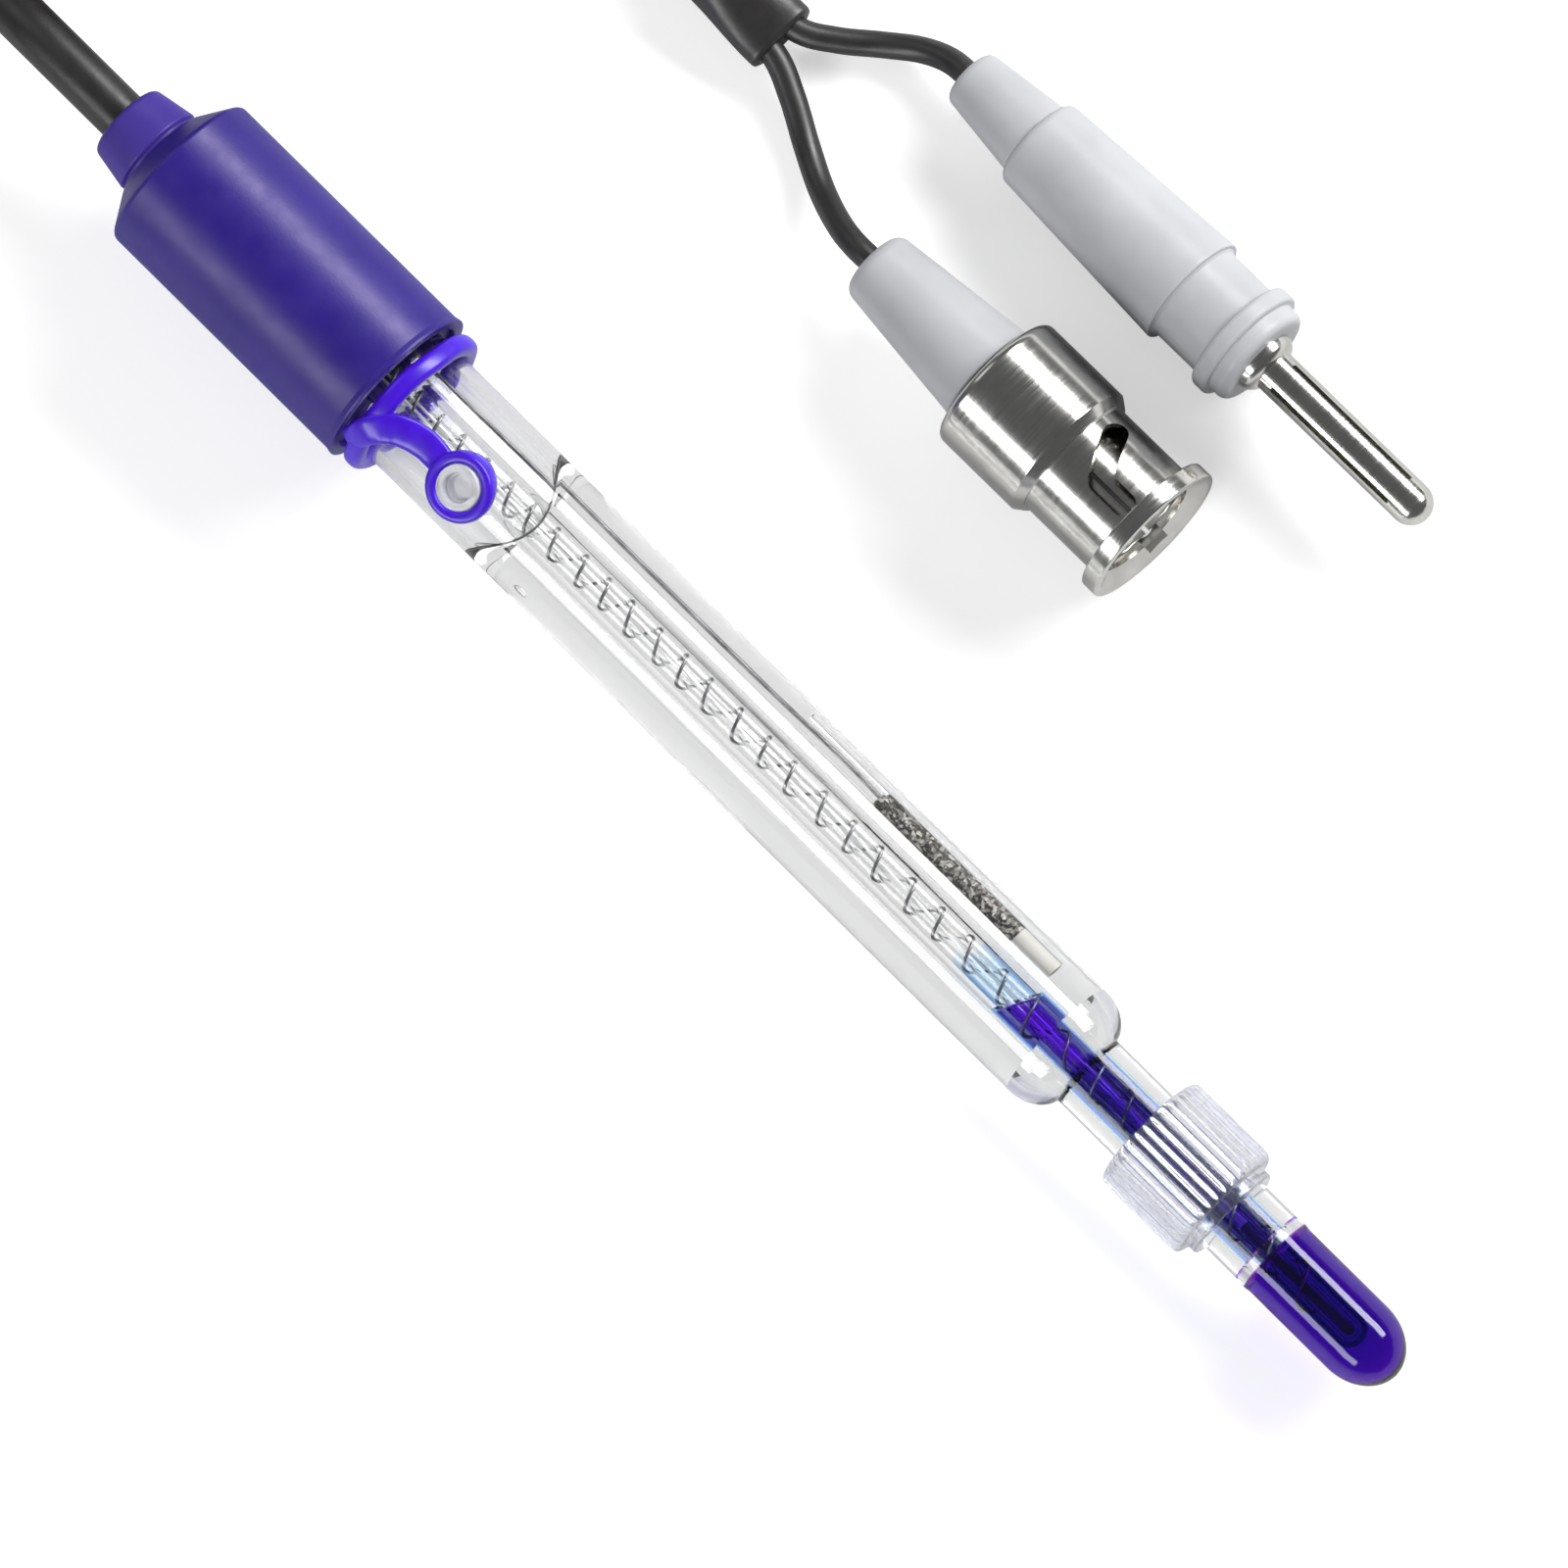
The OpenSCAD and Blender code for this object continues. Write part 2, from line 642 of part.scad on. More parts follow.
module refill_eyelet() {
  low = glass_r + clear;
  tongue_y = 0.3;
  half = strap_t / 2;
  reach = refill_s - fold_s;
  color("#4416d8") lay() rotate([refill_turn, 0, 0]) difference() {
    union() {
      translate([fold_s, tongue_y, low + half]) rotate([90, 0, 0]) cylinder(r = half, h = tongue_w, center = true);
      translate([fold_s, tongue_y - tongue_w / 2, low + 0.05]) cube([reach, tongue_w, strap_t - 0.1]);
      translate([refill_s, 0, low - 1.2]) cylinder(d = eyelet_d, h = eyelet_h + 1.2 - clear - 0.3);
      translate([refill_s, 0, low + eyelet_h - clear - 0.3]) cylinder(d1 = eyelet_d, d2 = eyelet_d - 0.6, h = 0.3);
    }
    rod(low, fold_s + half, refill_s + eyelet_d);
    translate([refill_s, 0, 0]) cylinder(d = eyelet_hole, h = glass_r + 5);
  }
}

// Clear hollow plug that snaps into the eyelet, with its tapered stem in the refill hole
module refill_plug() {
  top = glass_r + eyelet_h + 0.1;
  stem_top = refill_d / 2 - run;
  color("#e9ecf2", 0.6) lay() difference() {
    at_refill() union() {
      difference() {
        translate([0, 0, glass_r - 1]) cylinder(d = eyelet_hole - 2 * fit, h = top - glass_r + 1);
        translate([-refill_s, 0, 0]) rod(glass_r + clear, 0, refill_s * 2);
      }
      translate([0, 0, glass_r - plug_reach]) cylinder(r1 = stem_top - 0.2, r2 = stem_top, h = plug_reach);
      translate([0, 0, glass_r - 0.05]) cylinder(r = stem_top, h = clear + 0.4);
    }
    at_refill() translate([0, 0, top - plug_recess]) cylinder(d = recess_d, h = plug_recess + 1);
  }
}

// Junction sleeve

// Outline of the ribs across the sleeve: round crests with narrow grooves between them
function rib_outline(steps = 4) =
  [for (i = [0 : ribs * steps - 1])
    let (r = sleeve_r - rib_depth * (1 - abs(sin(180 * i / steps)))) r * [cos(360 * i / (ribs * steps)),
      sin(360 * i / (ribs * steps))]];

module junction_sleeve() {
  e = sleeve_edge;
  color("#e6ebf4", 0.7) lay() difference() {
    union() {
      intersection() {
        translate([s_sleeve, 0, 0]) rotate([0, 90, 0]) linear_extrude(height = sleeve_len)
          polygon(rib_outline());
        turned(concat(
          [[0, s_sleeve]], bend(sleeve_r - e, s_sleeve + e, e, -90, 0, 2),
          bend(sleeve_r - e, s_sleeve_end - e, e, 0, 90, 2), [[0, s_sleeve_end]]
        ));
      }
      rod(lip_d / 2, s_sleeve_end - 0.5, s_sleeve_end + lip_len);
    }
    turned([
      [0, s_sleeve - 1], [neck_r + run, s_sleeve - 1], [neck_r + run, s_sleeve], [seat_r + run, s_sleeve_end],
      [seat_r + run, s_sleeve_end + lip_len + 1], [0, s_sleeve_end + lip_len + 1]
    ]);
  }
}

// Cable

module cable() {
  start = on_axis(s_potting + cable_in - 0.2);
  exit = on_axis(s_neck_end);
  out = on_axis(s_neck_end - 2);
  color("#26262a") cord(concat([start, exit, out], cable_way), cable_r);
}

// Outer shape of the coil of spare cable, two layers high
module cable_coil() {
  color("#26262a") translate([coil_at[0], coil_at[1], 0]) rotate_extrude()
    translate([coil_r1 - cable_r, 0]) square([coil_r2 - coil_r1 + cable_d, cable_d * 2]);
}

module cable_return() {
  inner = splitter_at + [4, 0, 0];
  color("#26262a") cord(concat(return_way, [splitter_at, inner]), cable_r);
}

module cable_splitter() {
  far = splitter_at[0] + splitter_len;
  thin_r = lead_r + splitter_wall;
  color("#26262a") difference() {
    hull() {
      translate(splitter_at) rotate([0, 90, 0]) cylinder(r = cable_r + splitter_wall, h = 4.5, $fn = 32);
      for (side = [-1, 1]) {
        translate([far - 2, splitter_at[1] + side * lead_gap / 2, out_z]) rotate([0, 90, 0])
          cylinder(r = thin_r, h = 2, $fn = 32);
      }
    }
    translate(splitter_at - [1, 0, 0]) rotate([0, 90, 0]) cylinder(r = cable_r + fit, h = 5);
    for (side = [-1, 1]) {
      translate([far - 6.2, splitter_at[1] + side * lead_gap / 2, out_z]) rotate([0, 90, 0])
        cylinder(r = lead_r + fit, h = 8);
    }
  }
}

// A lead's start in the splitter, on its own side
function from_splitter(side, ahead) =
  [splitter_at[0] + splitter_len + ahead, splitter_at[1] + side * lead_gap / 2, out_z];

module signal_lead() {
  color("#26262a") cord(
    concat([from_splitter(-1, -6), from_splitter(-1, 0.3)], signal_way,
      [on_signal(0), on_signal(boot_len - ferrule_in - 0.1)]),
    lead_r, 8
  );
}

module temperature_lead() {
  color("#26262a") cord(
    concat([from_splitter(1, -6), from_splitter(1, 0.3)], temperature_way,
      [on_temperature(0), on_temperature(t_hub - shank_in - 0.1)]),
    lead_r, 8
  );
}

// Signal plug

module signal_boot() {
  edge = 1;
  color("#d5d5da") at_signal() difference() {
    turned(concat(
      [[0, 0]], bend(boot_d1 / 2 - edge, edge, edge, -90, 0), [[boot_d2 / 2, boot_len], [0, boot_len]]
    ));
    rod(lead_r + fit, -1, boot_len);
    rod(ferrule_r + fit, boot_len - ferrule_in - fit, boot_len + 1);
  }
}

// Turned body: ferrule in the boot, hub in the nut's lip, shoulder and slotted outer contact
module signal_body() {
  bore = contact_r - contact_wall;
  color("#c9c9cc") at_signal() difference() {
    turned([
      [0, boot_len - ferrule_in], [ferrule_r, boot_len - ferrule_in], [ferrule_r, boot_len + 0.05],
      [hub_r, boot_len + 0.05], [hub_r, t_shoulder], [shoulder_r, t_shoulder], [shoulder_r, t_gasket],
      [contact_r, t_gasket], [contact_r, t_contact - 0.4], [contact_r - 0.25, t_contact], [0, t_contact]
    ]);
    rod(bore, t_gasket, t_face);
    rod(centre_pin_d / 2 + 0.5, boot_len - ferrule_in - 1, t_face);
    for (turn = [0, 60, 120]) {
      rotate([turn, 0, 0]) translate([t_contact - 6, -0.2, -contact_r - 1]) cube([8, 0.4, 2 * contact_r + 2]);
    }
  }
}

// One bayonet slot: an entry from the mouth, a sloping arm and a round rest at its end
module bayonet_slot() {
  half = slot_w / 2;
  slope = 30;
  arm = 4.4;
  s_arm = t_flange - 4;
  deep = cavity_r;
  translate([s_arm, -half, deep - 1.2]) cube([t_face - s_arm + 1, slot_w, 1.2]);
  translate([s_arm, -half, 0]) cube([t_flange - s_arm, slot_w, nut_d]);
  translate([s_arm, 0, 0]) {
    cylinder(r = half, h = nut_d);
    rotate([0, 0, 180 - 90 + slope]) translate([0, -half, 0]) cube([arm, slot_w, nut_d]);
    rotate([0, 0, 180 - 90 + slope]) translate([arm, 0, 0]) cylinder(r = half + 0.15, h = nut_d);
  }
}

module signal_nut() {
  color("#cfcfd2") at_signal() difference() {
    turned(concat(
      [[hub_r + run, t_nut]],
      bend(grip_d / 2 - nut_edge, t_nut + nut_edge, nut_edge, -90, 0),
      [
        [grip_d / 2, t_grip], [nut_d / 2 + 0.3, t_sleeve], [nut_d / 2, t_sleeve], [nut_d / 2, t_flange],
        [flange_d / 2 - 0.15, t_flange], [flange_d / 2, t_flange + 0.15], [flange_d / 2, t_face - 0.25],
        [flange_d / 2 - 0.25, t_face], [flange_d / 2 - 0.7, t_face], [socket_d / 2, t_face - 1],
        [socket_d / 2, t_cavity_end], [cavity_r, t_cavity_end], [cavity_r, t_nut + nut_lip],
        [hub_r + run, t_nut + nut_lip]
      ]
    ));
    for (turn = [0, 180]) rotate([turn, 0, 0]) bayonet_slot();
  }
}

module signal_spring() {
  color("#b8b8b4") at_signal() tube(shoulder_r - 0.1, hub_r + run, t_spring, t_spring + spring_t);
}

module signal_gasket() {
  color("#8f3a34") at_signal() tube(shoulder_r - 0.1, contact_r + fit, t_gasket, t_gasket + gasket_t);
}

module signal_insulator() {
  floor_t = 4;
  color("#f2f2ee") at_signal() difference() {
    rod(contact_r - contact_wall - fit, t_gasket, t_contact - 0.5);
    rod(insulator_bore / 2, t_gasket + floor_t, t_face);
    rod(centre_pin_d / 2 + fit, t_gasket - 1, t_face);
  }
}

module signal_pin() {
  tip = centre_pin_d / 2;
  s_end = t_contact - 1.4;
  color("#d9b45a") at_signal() turned([
    [0, t_gasket - 3], [tip, t_gasket - 3], [tip, s_end - 1], [tip * 0.5, s_end], [0, s_end]
  ]);
}

// Temperature plug

module temperature_boot() {
  edge = 0.9;
  color("#d5d5da") at_temperature() difference() {
    turned(concat(
      [[0, 0]], bend(tboot_d1 / 2 - edge, edge, edge, -90, 0), [[tboot_d2 / 2, tboot_len], [0, tboot_len]]
    ));
    rod(lead_r + fit, -1, tboot_len + 1);
  }
}

module temperature_handle() {
  color("#dcdce0") at_temperature() difference() {
    turned(concat(
      [[0, t_handle]],
      bend(handle_d1 / 2 - handle_edge, t_handle + handle_edge, handle_edge, -90, 0),
      [
        [handle_d2 / 2, t_waist - 0.3], [handle_d2 / 2 - 0.3, t_waist], [waist_d / 2 + 0.25, t_waist],
        [waist_d / 2, t_waist + 0.25], [waist_d / 2, t_collar], [0, t_collar]
      ]
    ));
    rod(shank_r + fit, t_hub - shank_in, t_collar + 1);
    rod(lead_r + fit, t_handle - 1, t_hub - shank_in + 1);
  }
}

module temperature_collar() {
  step = collar_d / 2 - 0.7;
  color("#dcdce0") at_temperature() difference() {
    turned(concat(
      [[0, t_collar]],
      bend(collar_d / 2 - 0.5, t_collar + 0.5, 0.5, -90, 0),
      bend(collar_d / 2 - 0.5, t_collar + collar_t - 0.5, 0.5, 0, 60),
      [[step, t_collar + collar_t], [step, t_hub - 0.9]],
      bend(step - 0.9, t_hub - 0.9, 0.9, 0, 90),
      [[0, t_hub]]
    ));
    rod(shank_r + fit, t_collar - 1, t_hub + 1);
  }
}

// Pin with its shank, domed hub and two crossing saw cuts that make four springy leaves
module temperature_pin() {
  r = pin_d / 2;
  s_end = t_pin + pin_len;
  color("#cfcfd2") at_temperature() difference() {
    turned(concat(
      [[0, t_hub - shank_in], [shank_r, t_hub - shank_in], [shank_r, t_hub]],
      bend(hub_d / 2 - hub_len, t_hub, hub_len, 0, 70),
      [[r, t_pin]],
      bend(0, s_end - r, r, 0, 90, 8)
    ));
    for (turn = [45, 135]) {
      rotate([turn, 0, 0]) translate([t_pin + 1.2, -pin_slot / 2, -r - 1]) cube([pin_len - 4.4, pin_slot, 2 * r + 2]);
    }
  }
}

cap_shell();
strain_relief();
potting();
glass_body();
stem_tube();
membrane_bulb();
inner_buffer();
silver_coil();
sensor_capillary();
temperature_sensor();
sensor_leads();
reference_cartridge();
silver_chloride();
cartridge_plug();
reference_wire();
reference_electrolyte();
refill_band();
refill_eyelet();
refill_plug();
junction_sleeve();
cable();
cable_coil();
cable_return();
cable_splitter();
signal_lead();
temperature_lead();
signal_boot();
signal_body();
signal_nut();
signal_spring();
signal_gasket();
signal_insulator();
signal_pin();
temperature_boot();
temperature_handle();
temperature_collar();
temperature_pin();
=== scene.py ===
import math

import bmesh
import bpy
import numpy as np
from mathutils import Matrix


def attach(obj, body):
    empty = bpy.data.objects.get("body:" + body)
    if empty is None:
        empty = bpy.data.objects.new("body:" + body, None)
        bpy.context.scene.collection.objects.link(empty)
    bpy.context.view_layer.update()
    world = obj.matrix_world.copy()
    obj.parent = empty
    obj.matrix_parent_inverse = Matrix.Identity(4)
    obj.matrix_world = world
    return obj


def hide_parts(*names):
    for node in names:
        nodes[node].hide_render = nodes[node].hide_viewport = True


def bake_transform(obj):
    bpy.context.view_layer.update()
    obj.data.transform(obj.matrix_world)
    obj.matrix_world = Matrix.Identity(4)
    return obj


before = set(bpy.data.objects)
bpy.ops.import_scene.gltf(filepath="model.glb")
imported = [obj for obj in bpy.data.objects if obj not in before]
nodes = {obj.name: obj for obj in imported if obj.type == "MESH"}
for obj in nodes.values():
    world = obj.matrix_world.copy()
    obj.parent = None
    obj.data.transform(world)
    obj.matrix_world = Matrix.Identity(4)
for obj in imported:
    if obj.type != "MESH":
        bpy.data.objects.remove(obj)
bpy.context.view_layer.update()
print("frame loaded,", len(nodes), "nodes")

mm = 0.001

# where the electrode lies: its axis dips towards the bulb, and places on it are counted
# in mm from the cap's open rim
lying = {"dip": math.atan(2.2 / 101.3), "shift": -44.349, "height": 8.098}
plugPlaces = {
    "signal": {"start": (-22.5, 36.9, 6.5615), "rise": math.radians(1.1328)},
    "temperature": {"start": (-28.6, 54.5, 4.0039), "rise": math.radians(3.0128)},
}


def toFloor(points):
    # turns the electrode's own frame (x along its axis) down onto the floor, mm to metres
    p = np.asarray(points, float)
    c, s = math.cos(lying["dip"]), math.sin(lying["dip"])
    x = lying["shift"] + p[..., 0] * c + p[..., 2] * s
    z = lying["height"] - p[..., 0] * s + p[..., 2] * c
    return np.stack([x, p[..., 1], z], axis=-1) * mm


def fromFloor(points):
    # the way back: metres on the floor to mm along and across the electrode
    p = np.asarray(points, float) / mm
    c, s = math.cos(lying["dip"]), math.sin(lying["dip"])
    x, z = p[..., 0] - lying["shift"], p[..., 2] - lying["height"]
    return np.stack([x * c - z * s, p[..., 1], x * s + z * c], axis=-1)


def toPlug(which):
    # the same for a plug: x along the plug from its boot's small end
    at, rise = plugPlaces[which]["start"], plugPlaces[which]["rise"]

    def place(points):
        p = np.asarray(points, float)
        x = at[0] + p[..., 0] * math.cos(rise) - p[..., 2] * math.sin(rise)
        z = at[2] + p[..., 0] * math.sin(rise) + p[..., 2] * math.cos(rise)
        return np.stack([x, at[1] + p[..., 1], z], axis=-1) * mm

    return place


refillTurn = math.radians(19.4)


def rolled(points, turn):
    # turned about the x axis
    p = np.asarray(points, float)
    c, s = math.cos(turn), math.sin(turn)
    return np.stack([p[..., 0], p[..., 1] * c - p[..., 2] * s, p[..., 1] * s + p[..., 2] * c], axis=-1)


def fromRefill(points):
    # the refill hole's frame: z points out of the hole, x stays along the electrode
    return rolled(points, refillTurn)


# meshes


def makeObject(name, verts, faces, material, body=None, sharp=40):
    # a smooth piece whose edges stay sharp past the angle sharp, riding on its body
    mesh = bpy.data.meshes.new(name)
    mesh.from_pydata(np.asarray(verts, float).tolist(), [], [tuple(f) for f in faces])
    mesh.validate()
    mesh.update()
    for polygon in mesh.polygons:
        polygon.use_smooth = True
    mesh.set_sharp_from_angle(angle=math.radians(sharp))
    mesh.materials.append(material)
    piece = bpy.data.objects.new(name, mesh)
    bpy.context.scene.collection.objects.link(piece)
    if body:
        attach(piece, body)
    return piece


def gridFaces(rows, columns):
    # quads of a grid of points, rows by columns, each row closed into a ring
    i, j = np.meshgrid(np.arange(rows - 1), np.arange(columns), indexing="ij")
    a = i * columns + j
    b = i * columns + (j + 1) % columns
    return np.stack([a, a + columns, b + columns, b], axis=-1).reshape(-1, 4)


def loopFaces(rows, columns):
    # the same grid with its last row joined to its first
    last = (rows - 1) * columns
    j = np.arange(columns)
    strip = np.stack([last + j, j, (j + 1) % columns, last + (j + 1) % columns], axis=-1)
    return np.vstack([gridFaces(rows, columns), strip])


def tubeFaces(rows, columns):
    # the same grid with a flat face over its first row and one over its last
    last = (rows - 1) * columns
    return gridFaces(rows, columns).tolist() + [list(range(columns)), list(range(last, last + columns))]


def joined(*shells):
    # several (verts, faces) as one mesh
    verts, faces = np.zeros((0, 3)), []
    for moreVerts, moreFaces in shells:
        faces += [[k + len(verts) for k in f] for f in moreFaces]
        verts = np.vstack([verts, moreVerts])
    return verts, faces


def smoothStep(t):
    # 0 up to t = 0, 1 from t = 1 on and 3 t^2 - 2 t^3 between
    t = np.clip(t, 0, 1)
    return t * t * (3 - 2 * t)


def squarer(wave, power):
    # a sine or cosine made squarer, so that a circle becomes a superellipse of this power
    return np.sign(wave) * np.abs(wave) ** (2 / power)


def roundCorners(profile, radii, steps=5):
    # each corner of a profile becomes an arc of its own radius, with a point close before and
    # after it so that the straight walls shade straight; radius 0 keeps the corner
    points = np.asarray(profile, float)
    count = len(points)
    out = []
    for k in range(count):
        p = points[k]
        radius = radii[k] if k < len(radii) else 0
        before, after = points[k - 1] - p, points[(k + 1) % count] - p
        lb, la = np.linalg.norm(before), np.linalg.norm(after)
        if radius <= 0 or lb < 1e-9 or la < 1e-9:
            out.append(p)
            continue
        ub, ua = before / lb, after / la
        angle = math.acos(max(-1, min(1, float(ub @ ua))))
        if angle > math.pi - 0.02:
            out.append(p)
            continue
        reach = min(radius / math.tan(angle / 2), 0.48 * lb, 0.48 * la)
        radius = reach * math.tan(angle / 2)
        centre = p + (ub + ua) / np.linalg.norm(ub + ua) * radius / math.sin(angle / 2)
        first, last = p + ub * reach - centre, p + ua * reach - centre
        turn = math.atan2(first[0] * last[1] - first[1] * last[0], float(first @ last))
        out.append(p + ub * min(reach * 1.15 + 0.02, 0.49 * lb))
        for t in np.linspace(0, turn, steps + 1):
            out.append(centre + [first[0] * math.cos(t) - first[1] * math.sin(t),
                                 first[0] * math.sin(t) + first[1] * math.cos(t)])
        out.append(p + ua * min(reach * 1.15 + 0.02, 0.49 * la))
    return np.array(out)


def lathe(profile, segments=144, offset=(0, 0), inward=False):
    # a profile of (radius, place) points turned about the x axis: x = place,
    # y = radius cos(angle), z = radius sin(angle); points on the axis become poles.
    # The profile runs once round the material, or from axis to axis.
    p = np.asarray(profile, float)
    closed = p[0][0] > 1e-6 or p[-1][0] > 1e-6
    ring = np.vstack([p, p[:1]]) if closed else p
    area = np.sum(ring[:-1, 1] * ring[1:, 0] - ring[1:, 1] * ring[:-1, 0])
    angle = np.linspace(0, 2 * np.pi, segments, endpoint=False)
    r, x = p[:, :1], np.repeat(p[:, 1:2], segments, 1)
    y, z = offset[0] + r * np.cos(angle), offset[1] + r * np.sin(angle)
    verts = np.stack([x, y, z], axis=-1).reshape(-1, 3)
    faces = loopFaces(len(p), segments) if closed else gridFaces(len(p), segments)
    if (area < 0) != inward:
        faces = faces[:, ::-1]
    return verts, faces.tolist()


def weld(verts, faces, distance=1e-5):
    # merges the points of a pole and drops the faces that it empties
    key = np.round(np.asarray(verts) / distance).astype(np.int64)
    _, first, inverse = np.unique(key, axis=0, return_index=True, return_inverse=True)
    inverse = inverse.reshape(-1)
    kept = []
    for f in faces:
        g = []
        for v in inverse[np.asarray(f)]:
            if not g or g[-1] != v:
                g.append(int(v))
        if len(g) > 1 and g[0] == g[-1]:
            g.pop()
        if len(set(g)) > 2:
            kept.append(g)
    return np.asarray(verts)[first], kept


def turnedPiece(name, profile, material, body, place=toFloor, segments=144, offset=(0, 0), sharp=40):
    # one closed profile turned about its axis, with its poles welded
    verts, faces = weld(*lathe(profile, segments, offset))
    return makeObject(name, place(verts), faces, material, body, sharp)


def ringProfile(hole, radius, low, high):
    # the section of a plain tube or washer
    return [(hole, low), (radius, low), (radius, high), (hole, high)]


def stepLengths(line):
    # the distance from each point to the next
    return np.linalg.norm(np.diff(line, axis=0), axis=1)


def lineLength(line):
    return float(np.sum(stepLengths(line)))


def mixed(t, start, end, first, last):
    # first at t = start, last at t = end, and in proportion between
    return (end - t) / (end - start) * first + (t - start) / (end - start) * last


def smoothLine(points, spacing, steps=24):
    # a centripetal spline through the points, mixed three times over knots whose spacing is the
    # root of the points' distance, then re-spaced evenly along its length
    p = np.asarray(points, float)
    keep = np.concatenate([[True], stepLengths(p) > 1e-6])
    p = p[keep]
    p = np.vstack([2 * p[0] - p[1], p, 2 * p[-1] - p[-2]])
    out = []
    for k in range(1, len(p) - 2):
        q = p[k - 1:k + 3]
        knots = np.concatenate([[0], np.cumsum(np.maximum(stepLengths(q), 1e-9) ** 0.5)])
        t = np.linspace(knots[1], knots[2], steps, endpoint=False)[:, None]
        a = [mixed(t, knots[i], knots[i + 1], q[i], q[i + 1]) for i in range(3)]
        b = [mixed(t, knots[i], knots[i + 2], a[i], a[i + 1]) for i in range(2)]
        out.append(mixed(t, knots[1], knots[2], b[0], b[1]))
    line = np.vstack(out + [p[-2:-1]])
    along = np.concatenate([[0], np.cumsum(stepLengths(line))])
    stations = np.linspace(0, along[-1], max(2, int(along[-1] / spacing)) + 1)
    return np.stack([np.interp(stations, along, line[:, k]) for k in range(3)], axis=-1)


def sweptTube(line, radius, sides=24, up=(0, 0, 1), closed=False):
    # rings of a circle carried square to the line, closed by flat ends or joined into a loop
    line = np.asarray(line, float)
    if closed:
        tangent = np.roll(line, -1, axis=0) - np.roll(line, 1, axis=0)
    else:
        tangent = np.gradient(line, axis=0)
    tangent /= np.linalg.norm(tangent, axis=1)[:, None]
    side = np.cross(np.asarray(up, float), tangent)
    side /= np.maximum(np.linalg.norm(side, axis=1), 1e-9)[:, None]
    top = np.cross(tangent, side)
    a = np.linspace(0, 2 * np.pi, sides, endpoint=False)
    rings = line[:, None] + radius * (np.cos(a)[None, :, None] * side[:, None]
                                      + np.sin(a)[None, :, None] * top[:, None])
    if closed:
        faces = loopFaces(len(line), sides)[:, ::-1].tolist()
    else:
        last = (len(line) - 1) * sides
        faces = gridFaces(len(line), sides)[:, ::-1].tolist()
        faces += [list(range(sides)), list(range(last, last + sides))[::-1]]
    return rings.reshape(-1, 3), faces


def faceMiddles(mesh):
    # place along the electrode, y and z of each face's middle, in mm
    middles = np.empty(len(mesh.polygons) * 3)
    mesh.polygons.foreach_get("center", middles)
    return fromFloor(middles.reshape(-1, 3)).T


def coatFaces(piece, material, chosen):
    # gives one more material to the chosen faces
    mesh = piece.data
    mesh.materials.append(material)
    slots = np.empty(len(mesh.polygons), np.int32)
    mesh.polygons.foreach_get("material_index", slots)
    slots[chosen] = len(mesh.materials) - 1
    mesh.polygons.foreach_set("material_index", slots)


def finishFaces(piece, material, wanted):
    # the same for the faces whose middle is wanted, by its place, distance from the axis, y and z
    s, y, z = faceMiddles(piece.data)
    coatFaces(piece, material, wanted(s, np.hypot(y, z), y, z))


def outwards(piece):
    # turns every face of the piece outwards
    work = bmesh.new()
    work.from_mesh(piece.data)
    bmesh.ops.recalc_face_normals(work, faces=work.faces)
    work.to_mesh(piece.data)
    work.free()
    return piece


def cutAway(piece, cutters, sharp=40):
    # takes each cutter out of the piece and keeps the result as plain mesh
    for cutter in cutters:
        tool = piece.modifiers.new("cut", "BOOLEAN")
        tool.operation = "DIFFERENCE"
        tool.solver = "EXACT"
        tool.object = cutter
    bpy.context.view_layer.update()
    shape = bpy.data.meshes.new_from_object(piece.evaluated_get(bpy.context.evaluated_depsgraph_get()))
    piece.modifiers.clear()
    piece.data = shape
    for polygon in shape.polygons:
        polygon.use_smooth = True
    shape.set_sharp_from_angle(angle=math.radians(sharp))
    for cutter in cutters:
        bpy.data.objects.remove(cutter, do_unlink=True)


def bareSolid(name, verts, faces):
    # a solid without a finish, for cutting and for turning a shell's faces
    mesh = bpy.data.meshes.new(name)
    mesh.from_pydata(np.asarray(verts, float).tolist(), [], [tuple(f) for f in faces])
    piece = bpy.data.objects.new(name, mesh)
    bpy.context.scene.collection.objects.link(piece)
    return outwards(piece)


def blockSolid(low, high, turn, place):
    # a box between two corners, turned about the x axis
    x, y, z = [(low[k], high[k]) for k in range(3)]
    corners = [[x[i], y[j], z[k]] for i in (0, 1) for j in (0, 1) for k in (0, 1)]
    faces = [[0, 1, 3, 2], [4, 6, 7, 5], [0, 4, 5, 1], [2, 3, 7, 6], [0, 2, 6, 4], [1, 5, 7, 3]]
    return bareSolid("cutter", place(rolled(corners, turn)), faces)


# materials


def startMaterial(name):
    material = bpy.data.materials.new(name)
    material.use_nodes = True
    tree = material.node_tree
    shader = tree.nodes["Principled BSDF"]
    return material, tree, shader


def objectSpace(tree, scale=(1, 1, 1)):
    coords = tree.nodes.new("ShaderNodeTexCoord")
    mapping = tree.nodes.new("ShaderNodeMapping")
    mapping.inputs["Scale"].default_value = scale
    tree.links.new(coords.outputs["Object"], mapping.inputs["Vector"])
    return mapping.outputs["Vector"]


def noiseAt(tree, vector, scale, detail=4, rough=0.55):
    noise = tree.nodes.new("ShaderNodeTexNoise")
    noise.inputs["Scale"].default_value = scale
    noise.inputs["Detail"].default_value = detail
    noise.inputs["Roughness"].default_value = rough
    tree.links.new(vector, noise.inputs["Vector"])
    return noise.outputs["Fac"]


